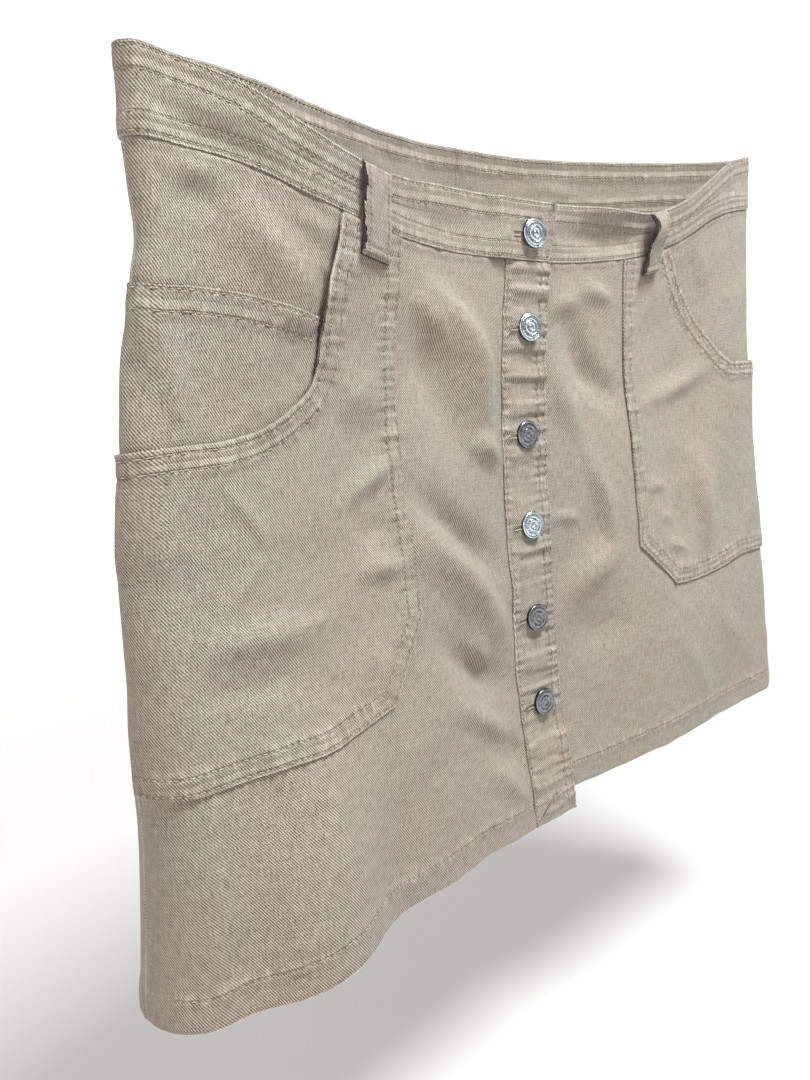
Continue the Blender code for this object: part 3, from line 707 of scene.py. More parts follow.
def denim(name, light, dark, pink, green):
    """Twill denim: slanted ribs, slubs and soft blotches, with grooves, puckers and wear along its seams.
    Painted shade darkens the puckers' hollows, the rows' grooves and needle holes, and a strip along a
    loop's edge; a painted highlight, with wear, lightens the puckers' crests.
    """
    n = Nodes(name)
    u, v = n.uv("weave")
    along, away = n.uv("seam")
    first, second = n.uv("rows")
    flat = n.point(u, v)

    # weave
    drift = n.times(n.minus(n.noise(flat, 110.0, 3.0), 0.5), 2.4)
    turn = 2 * np.pi / TWILL_PITCH
    to_right, down = float(np.sin(TWILL_ANGLE)) * turn, float(np.cos(TWILL_ANGLE)) * turn
    slant = n.plus(n.times(u, to_right), n.times(v, down))
    rib = n.math("SINE", n.plus(slant, drift))
    rib = n.spread(rib, -0.75, 0.75, -1.0, 1.0)
    cross = n.math("SINE", n.plus(n.times(v, 2 * np.pi / PICK_PITCH), n.times(drift, 2.0)))
    weave = n.plus(n.times(rib, 0.8), n.times(n.times(rib, cross), 0.2))
    slub = n.minus(n.noise(n.point(n.times(u, 1300.0), n.times(v, 150.0)), 1.0, 2.0), 0.5)
    weft = n.minus(n.noise(n.point(n.times(u, 120.0), n.times(v, 1100.0)), 1.0, 2.0), 0.5)
    speck = n.minus(n.noise(flat, 2300.0, 1.0), 0.5)
    blotch = n.noise(flat, 22.0, 4.0, 0.6)
    wide = n.noise(flat, 7.0, 2.0)

    # colour
    uneven = n.plus(n.times(slub, 0.9), n.plus(n.times(weft, 0.6), n.times(speck, 0.8)))
    fleck = n.plus(n.times(weave, 0.5), uneven)
    thread = n.mix(n.spread(fleck, -0.62, 0.62), dark, light)
    tint = n.mix(n.spread(n.plus(n.times(blotch, 0.7), wide), 0.7, 1.02), pink, green)
    colour = n.mix(1.0, thread, tint, "MULTIPLY")

    # seams
    nearest = n.math("MINIMUM", n.math("ABSOLUTE", first), n.math("ABSOLUTE", second))
    near = n.smooth(nearest, 0.0055, 0.0)
    trench = n.smooth(nearest, 0.0011, 0.0003)
    ripple = n.noise(n.point(n.times(along, 1 / PUCKER), n.times(away, 55.0)), 1.0, 2.0)
    hole = n.smooth(n.math("SINE", n.times(along, 2 * np.pi / STITCH)), 0.2, 0.9)
    hollow = n.times(n.smooth(ripple, 0.52, 0.34), near)
    crest = n.times(n.smooth(ripple, 0.5, 0.66), near)
    edge = n.smooth(away, 0.0011, 0.0004)
    rubbed = n.times(n.smooth(blotch, 0.42, 0.62), 0.5)
    # Painted shade: the puckers' hollows along the seams are darkened towards dark brown.
    colour = n.mix(n.times(hollow, 0.28), colour, (0.16, 0.13, 0.1, 1))
    # Painted highlight, together with wear: the puckers' crests along the seams are lightened.
    colour = n.mix(n.times(crest, 0.22), colour, (0.6, 0.55, 0.49, 1))
    colour = n.mix(n.times(edge, n.plus(n.times(rubbed, 0.7), 0.05)), colour, (0.64, 0.59, 0.52, 1))
    # Painted shade: each stitch row's groove is darkened, most at the needle holes between the stitches.
    colour = n.mix(n.times(trench, n.plus(n.times(hole, 0.34), 0.24)), colour, (0.11, 0.085, 0.06, 1))
    # Painted shade: where a loop's rows mark its edge strip, the colour turns near-black.
    shaded = n.smooth(second, SHADED_EDGE + 0.2, SHADED_EDGE + 0.1)
    colour = n.mix(n.times(shaded, n.plus(0.98, n.times(slub, 0.2))), colour, (0.014, 0.01, 0.007, 1))

    # height, in metres
    height = n.plus(n.times(weave, 0.00009), n.times(slub, 0.00016))
    height = n.plus(height, n.plus(n.times(weft, 0.0001), n.times(blotch, 0.0014)))
    height = n.plus(height, n.times(n.times(ripple, near), 0.0016))
    height = n.minus(height, n.times(trench, n.plus(n.times(hole, 0.0002), 0.0003)))
    cloth_look = {"Base Color": colour, "Roughness": 0.92, "Specular IOR Level": 0.15}
    return n.finish(cloth_look | {"Sheen Weight": 0.12, "Sheen Roughness": 0.5}, height)


def thread_material(name, colour):
    """Twisted sewing thread."""
    n = Nodes(name)
    place = n.add("ShaderNodeTexCoord").outputs["Object"]
    fuzz = n.noise(place, 1800.0, 2.0)
    paler = tuple(min(1.0, c * 1.35) for c in colour[:3]) + (1,)
    return n.finish({"Base Color": n.mix(fuzz, colour, paler), "Roughness": 0.75, "Sheen Weight": 0.2})


def metal_material(name, tint, grime_and_shade, roughness):
    """Plated metal with fine marks and dark patches, and painted shade on its parts that are low along the
    button's own Z: the rim's outer side and the channels.
    """
    n = Nodes(name)
    place = n.add("ShaderNodeTexCoord").outputs["Object"]
    marks = n.noise(place, 1400.0, 3.0)
    split = n.add("ShaderNodeSeparateXYZ", {"Vector": place})
    # Painted shade: the parts low along the button's own Z are darkened as far as the dark colour.
    low = n.smooth(split.outputs[2], 0.0024, 0.0021)
    patchy = n.smooth(n.noise(place, 420.0, 2.0), 0.5, 0.66)
    # The darkening mixes real marks and patches with this painted shade.
    dirt_and_shade = n.math("MAXIMUM", low, n.plus(n.times(n.smooth(marks, 0.48, 0.64), 0.4), n.times(patchy, 0.5)))
    colour = n.mix(dirt_and_shade, tint, grime_and_shade)
    rough = n.spread(marks, 0.3, 0.7, roughness, roughness + 0.14)
    return n.finish({"Base Color": colour, "Metallic": 1.0, "Roughness": rough}, marks, 0.00006)


DENIM = denim(
    "denim_outside",
    light=(0.462, 0.418, 0.368, 1),
    dark=(0.072, 0.061, 0.047, 1),
    pink=(1.0, 0.955, 0.92, 1),
    green=(0.93, 0.965, 0.93, 1),
)
THREAD = thread_material("thread_sand", (0.3, 0.262, 0.205, 1))
PURL = thread_material("thread_buttonhole", (0.215, 0.18, 0.13, 1))
# One metal in two tints: the bluish-white tint is a painted reflection for the buttons that mirror the
# light, and the grey tint paints the same metal as it looks where it mirrors little.
BUTTON_BRIGHT = metal_material("button_bright", (0.8, 0.93, 1.0, 1), (0.1, 0.115, 0.14, 1), 0.2)
BUTTON_GREY = metal_material("button_grey", (0.34, 0.34, 0.36, 1), (0.045, 0.045, 0.05, 1), 0.22)


# --- Cloth pieces ------------------------------------------------------------


def side_name(side):
    return "left" if side > 0 else "right"


def mirrored(line, side):
    return np.asarray(line) * (side, 1)


def hem_at(face, side, distance):
    """The depth of the hem's edge."""
    if face == "front":
        right = (0.0012 + 0.0034 * ease((distance + 0.218) / 0.035)) * ease((-0.02 - distance) / 0.05)
        left = 0.0018 * ease((distance - 0.03) / 0.08)
        return (HEM_RIGHT if side < 0 else HEM_LEFT) - right - left + 0.0004 * waves(11, distance, 0.014)
    share = 0.5 + 0.5 * distance / side_at("back", 1, HEM_LEFT)
    return HEM_RIGHT + (HEM_LEFT - HEM_RIGHT) * share + 0.0004 * waves(12, distance, 0.014)


def hem_ripples(distance, above):
    """Slanted ripples of a turned-up hem that twists as it is sewn, by the height above its edge."""
    slant = (distance - 0.8 * above) / HEM_ROPE + 0.5 * waves(13, distance, 0.03)
    strong = 0.6 + 0.4 * waves(14, distance, 0.05)
    return 0.00055 * strong * np.sin(2 * np.pi * slant) * hump((above - HEM_ROW / 2) / (HEM_ROW * 0.62))


def mouth_sink(distance, depth):
    """How deep the cloth behind the right pocket's mouth drops away, past a sharp edge beside the mouth."""
    out = np.abs(distance)
    mouth = np.interp(depth, MOUTH_RIGHT["depth"], MOUTH_RIGHT["distance"])
    open_share = hump((depth - GAP_DEPTH) / GAP_HALF) ** 0.6
    inside = ease((mouth + GAP_WIDTH * open_share - out) / 0.002) * ease((out - mouth + 0.016) / 0.008)
    return GAP_SINK * np.sqrt(open_share) * inside


def panel(face, side, last):
    """A front or back panel from its side seam to a distance from the centre line, hemmed below."""
    name = f"{face}_panel_{side_name(side)}"
    level = 0.2
    from_last = 1 - shares(side_at(face, side, level) - last, PANEL_PITCH)
    across = (from_last * across_at(face, side, last, level))[::-1]
    top_distance = distance_at(face, side, across, 0.05)
    top = waist_edge(face, "low", top_distance) - PANEL_TUCK
    low = hem_at(face, side, distance_at(face, side, across, HEM_LEFT))
    depth = top + (low - top) * shares(0.37, PANEL_PITCH)[:, None]
    distance = distance_at(face, side, across[None, :], depth)
    distance[:, -1] = side * last
    above = low - depth
    doubled = ease((HEM_FOLD - above) / 0.0015) * CLOTH
    lift = hem_ripples(distance, above)
    lift = lift - PANEL_SINK * ease((top + PANEL_TUCK + 0.0016 - depth) / 0.0016)
    if (face, side) == ("front", -1):
        lift = lift - mouth_sink(distance, depth)
    down = np.linspace(0.02, 0.42, 100)
    under = places(top_distance, top + PANEL_TUCK + 0.0004)
    seams = [
        seam(places(distance[-1], low), (HEM_ROW,), side),
        seam(places(distance_at(face, side, np.zeros(100), down), down), ()),
        seam(under, ()) | {"first": 0.0},
    ]
    if face == "back":
        seams.append(seam(places(side * last, down), (EDGE_ROW, SECOND_ROW) if side > 0 else (), -side))
    rests_on = [f"waistband_{face}_{side_name(side)}_cloth"]
    return cloth(name, face, distance, depth, lift, CLOTH, seams, rests_on, thick_in=doubled, to_side=True)


def waistband(face, side, last):
    """A quarter of the waistband, from its side seam to a distance from the centre line."""
    name = f"waistband_{face}_{side_name(side)}"
    level = 0.04
    across = shares(side_at(face, side, level) - last, WAIST_PITCH) * across_at(face, side, last, level)
    near = distance_at(face, side, across, level)
    top, low = waist_edge(face, "top", near), waist_edge(face, "low", near)
    depth = top + (low - top) * shares(WAIST_DEPTH, WAIST_PITCH)[:, None]
    distance = distance_at(face, side, across[None, :], depth)
    distance[:, -1] = side * last
    laps = (face, side) == ("front", -1)
    if laps:
        slant = LAP_SLANT * (1 - shares(WAIST_DEPTH, WAIST_PITCH))[:, None]
        distance = distance + slant * ease((distance - 0.004) / 0.015)

    def lift_at(distance, depth):
        over = (DOUBLE + SEAM_GAP) * ease((distance + BAND_HALF + 0.016) / 0.014) * laps
        return WAIST_LIFT + over + 0.0004 * waves(31, distance + 0 * depth, 0.009)

    edge = np.linspace(side * last, side * (side_at(face, side, 0.03) - SEAM_GAP), 120)
    seams = [
        seam(places(edge, waist_edge(face, "top", edge)), WAIST_TOP_ROWS, side),
        seam(places(edge, waist_edge(face, "low", edge)), WAIST_LOW_ROWS, -side),
    ]
    if laps:
        end = np.linspace(waist_edge(face, "top", BAND_HALF), waist_edge(face, "low", BAND_HALF), 12)
        seams.append(seam(places(BAND_HALF + LAP_SLANT * np.linspace(1, 0, 12), end), (EDGE_ROW,), 1))
    lift = lift_at(distance, depth)
    looks = {"top_at": lambda u, v: lift_at(u, v) + DOUBLE, "strength": WAIST_PUCKER, "to_side": True}
    made = cloth(name, face, distance, depth, lift, DOUBLE, seams, [], **looks)
    for one in seams:
        for row in one["rows"]:
            STITCH_ROWS.append((face, row, lift_at(*row.T) - STITCH_RADIUS, -1))
    return made


WAISTBANDS = {}
for face in ("front", "back"):
    for side in (-1, 1):
        laps = BAND_HALF - UNDER_GAP * (side > 0)
        WAISTBANDS[face, side] = waistband(face, side, -laps if face == "front" else SEAM_GAP / 2)
panel("front", -1, BAND_HALF - BAND_LAP)
panel("front", 1, -(BAND_HALF - BAND_LAP - UNDER_GAP))
panel("back", -1, SEAM_GAP / 2)
panel("back", 1, SEAM_GAP / 2)

BAND_LIFT = CLOTH + PATCH_GAP
BAND_SEWN = 0.0007


def band_lift(distance, depth):
    """Height of the button band's inner side: short ridges across it, calm at the buttons."""
    slanted = depth + 0.1 * distance * waves(22, depth, 0.03)
    rumple = 0.0011 * waves(21, slanted, 0.0042) + 0.0008 * waves(23, slanted, 0.009)
    calm = 1 - 0.4 * hump((np.abs(distance) - BAND_HALF) / 0.006)
    for button_depth in BUTTON_DEPTHS[1:]:
        calm = calm * (1 - 0.7 * hump((depth - button_depth) / 0.009))
    ripples = 0.5 * hem_ripples(distance, HEM_RIGHT - depth)
    free = ease((distance + BAND_HALF) / 0.01)
    return BAND_LIFT + free * (0.0007 + np.maximum(rumple * calm + ripples, -0.0006))


def band_thick(distance):
    """The band's folded cloth, thin at its left edge in the photo, where it is sewn to the panel."""
    return BAND_SEWN + (DOUBLE - BAND_SEWN) * ease((distance + BAND_HALF) / 0.013)


def front_hem(distance):
    return HEM_RIGHT + 0.0004 * waves(12, distance, 0.012)


across = shares(2 * BAND_HALF, BAND_PITCH) * 2 * BAND_HALF - BAND_HALF
top = waist_edge("front", "low", across) + WAIST_GAP
band_depth = top + (front_hem(across) - top) * shares(HEM_RIGHT - 0.08, BAND_PITCH)[:, None]
band_edge = 0.0007 * waves(24, band_depth, 0.018) * ease((band_depth - 0.08) / 0.01)
band_distance = across + band_edge
down = np.linspace(0.078, HEM_RIGHT, 100)
band_seams = [
    seam(places(-BAND_HALF, down), (EDGE_ROW,), -1),
    seam(places(BAND_HALF, down), (EDGE_ROW, SECOND_ROW - EDGE_ROW), 1),
    seam(places(across, HEM_RIGHT), (HEM_ROW,), -1),
]
button_band = cloth(
    "button_band",
    "front",
    band_distance,
    band_depth,
    band_lift(band_distance, band_depth),
    band_thick(band_distance),
    band_seams,
    ["front_panel_right_cloth", "front_panel_left_cloth"],
    top_at=lambda u, v: band_lift(u, v) + band_thick(u),
    strength=BAND_PUCKER,
)


def over_coin(distance, depth):
    """How much of the coin pocket's thickness the right pocket climbs over."""
    return ease((COIN_BOTTOM + 0.022 - depth) / 0.02) * ease((distance - COIN_INNER + 0.012) / 0.012)


def at_side(side, distance, depth):
    """1 on the side fold, fading to 0 at the side seam and well on to the front."""
    before_seam = side_at("front", side, depth) - np.abs(distance)
    return ease((0.085 - before_seam) / 0.05) * (0.4 + 0.6 * ease(before_seam / 0.008))


def coin_lift(distance, depth):
    stands = 0.002 * at_side(-1, distance, depth) * hump((depth - COIN_SIDE_DEPTH) / 0.045)
    return CLOTH + PATCH_GAP + stands - mouth_sink(distance, depth)


def right_lift(distance, depth):
    """The right pocket gapes along its scooped mouth and stands off the side."""
    out = np.abs(distance)
    gape = 0.0014 * ease((out - 0.128) / 0.024) * hump((depth - GAP_DEPTH) / GAP_HALF)
    corner = 0.0016 * hump((out - 0.18) / 0.022) * hump((depth - 0.156) / 0.014)
    stands = 0.0018 * at_side(-1, distance, depth) * hump((depth - 0.166) / 0.06)
    return CLOTH + PATCH_GAP + (CLOTH + PATCH_GAP) * over_coin(out, depth) + gape + corner + stands


def left_lift(distance, depth):
    gape = 0.0016 * ease((np.abs(distance) - 0.14) / 0.06) * hump((depth - 0.15) / 0.06)
    return CLOTH + PATCH_GAP + gape


def smooth_line(rows, count):
    """A smooth curve through a table's (distance, depth) rows."""
    run = run_along(places(rows["distance"], rows["depth"]))
    columns = {"run": run, **rows}
    at = np.linspace(0, run[-1], count)
    return places(read(columns, "distance", "run", at), read(columns, "depth", "run", at))


def round_side(side, start, end):
    """The outline's last points, round the side fold from a depth to the seam."""
    depths = np.linspace(start, end, 12)
    return places(side * distance_at("front", side, np.linspace(1, 0, 12), depths), depths)


def resampled(line, count):
    """As many points along a line, evenly spread but for a close step at each end."""
    length = run_along(line)[-1]
    at = shares(length, length / (count - 2)) * length
    return points_at(line, np.interp(np.linspace(0, 1, count), np.linspace(0, 1, len(at)), at))


def patch(name, side, top, low, columns, lift_at, seams):
    """A patch between two outlines of (distance, depth), each from its inner edge to the side."""
    grids = []
    for outline in (resampled(top, columns), resampled(low, columns)):
        grids.append(places(across_at("front", side, *outline.T), outline[:, 1]))
    down = shares(np.ptp(low[:, 1]) + np.mean(low[:, 1]) - np.mean(top[:, 1]), PATCH_PITCH)[:, None, None]
    grid = grids[0] + (grids[1] - grids[0]) * down
    distance = distance_at("front", side, grid[..., 0], grid[..., 1])
    lift = lift_at(distance, grid[..., 1])
    signed = [seam(mirrored(line, side), offsets, side * inner) for line, offsets, inner in seams]
    rests_on = [f"front_panel_{side_name(side)}_cloth"]
    looks = {"top_at": lambda u, v: lift_at(u, v) + CLOTH, "strength": PATCH_PUCKER}
    return cloth(name, "front", distance, grid[..., 1], lift, CLOTH, signed, rests_on, **looks)


def pocket(which, lift_at):
    """A patch pocket: along the waistband, down the mouth, round the side, and back along the bottom."""
    p = POCKETS[which]
    side = p["side"]
    mouth = smooth_line(p["mouth"], 80)
    bottom = smooth_line(p["bottom"], 60)
    mouth_side = round_side(side, mouth[-1, 1], p["mouth_side"])
    bottom_side = round_side(side, bottom[-1, 1], p["bottom_side"])
    along_waist = np.linspace(p["inner_top"], mouth[0, 0], 20)[:-1]
    waist_top = places(along_waist, waist_edge("front", "low", side * along_waist) + WAIST_GAP)
    top = np.concatenate([waist_top, mouth, mouth_side])
    corner = np.linspace(p["inner_low"], bottom[0], 20)[:-1]
    low = np.concatenate([corner, bottom, bottom_side])
    inner_edge = np.linspace((p["inner_top"], waist_top[0, 1]), p["inner_low"], 40)
    seams = [
        (np.concatenate([inner_edge, corner[1:], bottom, bottom_side]), (EDGE_ROW, SECOND_ROW), -1),
        (np.concatenate([mouth, mouth_side]), MOUTH_ROWS, 1),
    ]
    return patch(f"pocket_{which}", side, top, low, 140, lift_at, seams)


coin_edge = smooth_line(COIN_TOP, 40)
coin_side = round_side(-1, coin_edge[-1, 1], COIN_SIDE_DEPTH)
coin_top = np.concatenate([coin_edge, coin_side])
coin_low = places(coin_top[:, 0], COIN_BOTTOM)
coin_low[40:] = round_side(-1, COIN_BOTTOM, COIN_BOTTOM)
coin_inner = np.linspace((COIN_INNER, coin_edge[0, 1]), (COIN_INNER, COIN_BOTTOM), 30)
coin_seams = [(coin_top, COIN_ROWS, 1), (coin_inner, (EDGE_ROW,), -1)]
patch("coin_pocket", -1, coin_top, coin_low, 84, coin_lift, coin_seams)
pocket("right", right_lift)
pocket("left", left_lift)


# --- Stitches ----------------------------------------------------------------


def tube_faces(rings, turns):
    """Quads round a tube of rings, and its two ends."""
    faces = []
    for i in range(rings - 1):
        for j in range(turns):
            k = (j + 1) % turns
            faces.append((i * turns + j, i * turns + k, (i + 1) * turns + k, (i + 1) * turns + j))
    return faces + [tuple(range(turns))[::-1], tuple(range((rings - 1) * turns, rings * turns))]


def stitch_template(sides=4):
    """One stitch of unit length along x: rings of a bowed thread, and its faces."""
    along = np.array([-0.5, -0.42, 0.0, 0.42, 0.5])
    radius = np.array([0.25, 0.85, 1.0, 0.85, 0.25])
    rise = np.array([-1.1, -0.3, 0.35, -0.3, -1.1])
    turn = np.arange(sides) * 2 * np.pi / sides
    points = [(a, r * np.cos(t), r * np.sin(t) + h) for a, r, h in zip(along, radius, rise) for t in turn]
    return np.array(points), tube_faces(len(along), sides)


def sewn(name, face, starts, ends, lifts, outward, finish, radius=STITCH_RADIUS):
    """Joined stitches between pairs of places on the cloth, bowed outward (1) or inward (-1)."""
    template, faces = stitch_template()
    a = on_cloth(face, *starts.T, lifts)
    b = on_cloth(face, *ends.T, lifts)
    middle = (starts + ends) / 2
    up = on_cloth(face, *middle.T, lifts + 0.01 * outward) - (a + b) / 2
    along = b - a
    up = up - along * (np.sum(up * along, -1) / np.sum(along * along, -1))[:, None]
    up = up / np.linalg.norm(up, axis=-1, keepdims=True)
    across = np.cross(up, along)
    across = across / np.linalg.norm(across, axis=-1, keepdims=True)
    points = (
        (a + b)[:, None] / 2
        + along[:, None] * template[None, :, :1]
        + across[:, None] * template[None, :, 1:2] * radius
        + up[:, None] * template[None, :, 2:] * radius
    ).reshape(-1, 3)
    every = [tuple(k + i * len(template) for k in f) for i in range(len(a)) for f in faces]
    made = mesh_object(name, points, every, finish)
    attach(made, "root")
    return made


def stitched_rows(face, outward):
    """Starts, ends and lifts of the stitches along a face's rows, on its outside (1) or inside (-1)."""
    starts, ends, lifts = [], [], []
    for row_face, line, lift, row_outward in STITCH_ROWS:
        if (row_face, row_outward) != (face, outward):
            continue
        run = run_along(line)
        begin = np.arange(0.2 * STITCH, run[-1] - STITCH, STITCH)
        starts.append(points_at(line, begin))
        ends.append(points_at(line, begin + STITCH * STITCH_SHARE))
        lifts.append(np.interp(begin, run, lift))
    return np.concatenate(starts), np.concatenate(ends), np.concatenate(lifts)


for face in ("front", "back"):
    for outward, where in ((1, "outside"), (-1, "inside")):
        starts, ends, lifts = stitched_rows(face, outward)
        sewn(f"stitches_{face}_{where}", face, starts, ends, lifts, outward, THREAD)


# --- Belt loops --------------------------------------------------------------

# How far each kind of loop stands off, by the share of its length from its top end.
LOOP_FLAT = table(
    "along stand",
    (0, 0.05), (0.06, 0.2), (0.16, 0.8), (0.3, 1), (0.62, 0.95), (0.78, 0.55), (0.9, 0.22), (1, 0.18),
    plain="along stand",
)
LOOP_BULGED = table(
    "along stand",
    (0, 0.1), (0.08, 0.6), (0.2, 1), (0.38, 0.96), (0.55, 0.62), (0.72, 0.4), (0.88, 0.26), (1, 0.2),
    plain="along stand",
)
# How much wider or narrower the painted shade along a loop's edge is, by the share of its length from its
# top end.
LOOP_EDGE_SHADE = table(
    "along worn",
    (0, 0.5), (0.2, 1.5), (0.45, 0.7), (0.65, 0.6), (0.82, 1.3), (1, 0.5),
    plain="along worn",
)
LOOP_ROLL = 0.0052  # length of the strap's lower end that is folded under
LOOP_EDGE_ROW = 0.0032
LOOP_BASE = 0.0026  # how far the strap's inner side lies off the cloth's where it is sewn down


def belt_loop(name, face, path, middle, width, stand_most, tip, drop, fray, slant):
    """A strap folded in three, standing off the waistband between its sewn ends.

    tip lifts its one edge and drop is how far it hangs below the waistband; the argument after drop is how
    wide the strip of painted shade along its edge is, and slant how far its top lies beyond its lower end.
    """
    start = float(waist_edge(face, "top", middle)) + 0.001
    end = float(waist_edge(face, "low", middle)) + drop
    t = shares(end - start, 0.0008)
    along = (end - start) * t
    stand = LOOP_BASE + stand_most * read(path, "stand", "along", t)
    roll = hump((end - start - along - LOOP_ROLL / 2) / (LOOP_ROLL / 2))
    slope = np.stack([np.gradient(along), np.gradient(stand)], -1)
    slope = slope / np.linalg.norm(slope, axis=-1, keepdims=True)
    across = (shares(width, 0.001) - 0.5) * width
    share = across / (width / 2)
    lean = 0.001 * waves(len(name), t, 0.22)[:, None]
    lean = lean + 0.0003 * waves(8, t, 0.03)[:, None] * (share < -0.9)
    distance = middle + across[None, :] + lean + slant * (0.75 - t)[:, None]
    follow = waist_edge(face, "low", distance) - waist_edge(face, "low", middle)
    at_end = (t[:, None] > 1 - 1e-6) | (t[:, None] < 1e-6)
    border = (np.abs(share) > 1 - EDGE_ROLL / width)[None, :] | at_end
    tipped = -tip * share[None, :] * read(path, "stand", "along", t)[:, None]
    crown = 0.0005 * (1 - share**2)[None, :] + 0.0009 * roll[:, None]
    height = stand[:, None] + tipped + LOOP_THICK / 2
    sides = []
    for sign in (1, -1):
        out = sign * LOOP_THICK / 2 * (1 - 0.6 * border) + (crown if sign > 0 else 0)
        depth = start + along[:, None] + follow - slope[:, 1:] * out
        sides.append(on_cloth(face, distance, depth, height + slope[:, :1] * out))
    down = start + along[:, None] + 0 * distance
    away = (width / 2 - np.abs(across))[None, :] + 0 * distance
    fold_row = np.abs(down - end + LOOP_ROLL)
    # Painted shade: a near-black strip along the loop's edge on the wearer's right and along its lower end
    # stands for the shadowed gap beside them.
    edge_shade_width = fray * read(LOOP_EDGE_SHADE, "worn", "along", t) * (1 + 0.2 * waves(17, t, 0.08))
    worn = (across[None, :] < edge_shade_width[:, None] - width / 2) | (t > 1 - 1e-6)[:, None]
    maps = {
        "weave": (distance + 0.05, -down),
        "seam": (down, np.minimum(away, end - down)),
        "rows": (away - LOOP_EDGE_ROW, np.where(worn, SHADED_EDGE, fold_row)),
    }
    made = closed_sheet(name + "_cloth", sides[0], sides[1], face == "back", DENIM, maps)
    placed(made, name)
    fold = np.linspace(middle - width * 0.42, middle + width * 0.42, 7)
    level = end - LOOP_ROLL + waist_edge(face, "low", fold) - waist_edge(face, "low", middle)
    lifts = np.full(6, LOOP_BASE + LOOP_THICK + stand_most * 0.22 + 0.0004)
    tack = places(fold, level)
    sewn(name + "_tack", face, tack[:-1], tack[:-1] + (tack[1:] - tack[:-1]) * 0.85, lifts, 1, THREAD)


# The sixth column is the width of the painted shade along each loop's edge.
LOOPS = table(
    "middle width stand_most tip drop fray slant",
    (-122.5, 19, 0.8, 0.6, 16.5, 1.4, 0),
    (119, 19, 7, 1.4, 13, 3, 6),
    (-135, 18.5, 5, 0.8, 16.5, 0.4, 0),
    (135, 18.5, 5.5, -0.8, 16.5, 0.4, 0),
    (0, 18.5, 4.5, 0.4, 16.5, 0.4, 0),
)
LOOP_NAMES = ("front_right", "front_left", "back_right", "back_left", "back_middle")
for where, *sizes in zip(LOOP_NAMES, *LOOPS.values()):
    path = LOOP_BULGED if where == "front_left" else LOOP_FLAT
    belt_loop(f"belt_loop_{where}", where.split("_")[0], path, *map(float, sizes))


# --- Buttons and buttonholes -------------------------------------------------


def frame_at(distance, depth, lift):
    """A matrix at a place on the front: local Z points out of the cloth, local X along it."""
    spot = Vector(on_cloth("front", distance, depth, lift).tolist())
    out = Vector(on_cloth("front", distance, depth, lift + 0.01).tolist()) - spot
    along = Vector(on_cloth("front", distance + 0.005, depth, lift).tolist()) - spot
    z = out.normalized()
    y = z.cross(along).normalized()
    return Matrix.Translation(spot) @ Matrix((y.cross(z), y, z)).transposed().to_4x4()


# A shank button's half section: shares of its radius, and heights off the cloth. The raised rim goes round
# a beaded channel and a small boss.
BUTTON_PROFILE = table(
    "radius height beads",
    (0.2, -2, 0), (0.2, 0, 0), (0.86, 0, 0), (0.965, 0.4, 0), (1, 1.1, 0), (0.99, 1.8, 0), (0.95, 2.3, 0),
    (0.9, 2.55, 0), (0.86, 2.5, 0), (0.82, 2.12, 0), (0.78, 2.4, 0.3), (0.7, 2.55, 1), (0.6, 2.6, 1),
    (0.54, 2.48, 0.3), (0.5, 2.12, 0), (0.46, 2.58, 0), (0.4, 2.84, 0), (0.3, 2.88, 0), (0.25, 2.4, 0),
    (0.2, 2.22, 0), (0.14, 2.65, 0), (0.05, 2.75, 0),
    plain="radius beads",
)
BEADS = 22
BEAD_RISE = 0.00018
BUTTON_STAND = 0.0016  # how far the button stands off the band
LAP_LIFT = 0.0008  # and how much more at the waistband's lapped end


def button(number, depth, finish, tilt):
    """A turned metal shank button on its stem."""
    turns = BEADS * 4
    angle = np.arange(turns) * 2 * np.pi / turns
    radius = BUTTON_PROFILE["radius"] * BUTTON_RADIUS
    bead = np.outer(BUTTON_PROFILE["beads"], np.maximum(np.cos(angle * BEADS), 0)) * BEAD_RISE
    height = BUTTON_PROFILE["height"][:, None] + bead
    rows = [np.outer(radius, np.cos(angle)), np.outer(radius, np.sin(angle)), height]
    points = np.stack(rows, -1).reshape(-1, 3)
    made = mesh_object(f"button_{number}_head", points, tube_faces(len(radius), turns), finish)
    lift = BAND_LIFT + DOUBLE + BUTTON_STAND + (LAP_LIFT if number == 1 else 0)
    tilted = Matrix.Rotation(tilt[0], 4, "X") @ Matrix.Rotation(tilt[1], 4, "Y")
    made.matrix_world = frame_at(0.0, depth, lift) @ tilted
    placed(made, f"button_{number}")


TILTS = ((-0.05, -0.18), (-0.1, -0.16), (0.04, -0.1), (-0.05, -0.14), (-0.04, -0.1), (0.03, -0.08))
# Buttons painted with the reflecting tint; the others get the grey tint of the same metal.
BRIGHT = (1, 2, 4)
for number, (depth, tilt) in enumerate(zip(BUTTON_DEPTHS, TILTS), 1):
    button(number, depth, BUTTON_BRIGHT if number in BRIGHT else BUTTON_GREY, tilt)


EYELET = 0.002
SLIT_HALF = 0.00055
PURL_REACH = 0.0013  # how far the stitches round a buttonhole reach out
PURL_RADIUS = 0.00022
HOLE_SHIFT = -0.0012  # the stem pulls to the hole's end on the wearer's left


def keyhole(grow=0.0):
    """Outline of a keyhole in the cloth: an eyelet round the stem and a slit to the wearer's right."""
    corner = np.arcsin((SLIT_HALF + grow) / (EYELET + grow))
    turn = np.linspace(-np.pi + corner, np.pi - corner, 22)
    round_part = (EYELET + grow) * places(np.cos(turn), np.sin(turn))
    slit = np.linspace(round_part[-1, 0], -HOLE_SLIT - grow, 26)[1:]
    upper = places(slit, SLIT_HALF + grow)
    lower = places(slit[::-1], -SLIT_HALF - grow)
    return np.concatenate([round_part, upper, lower])


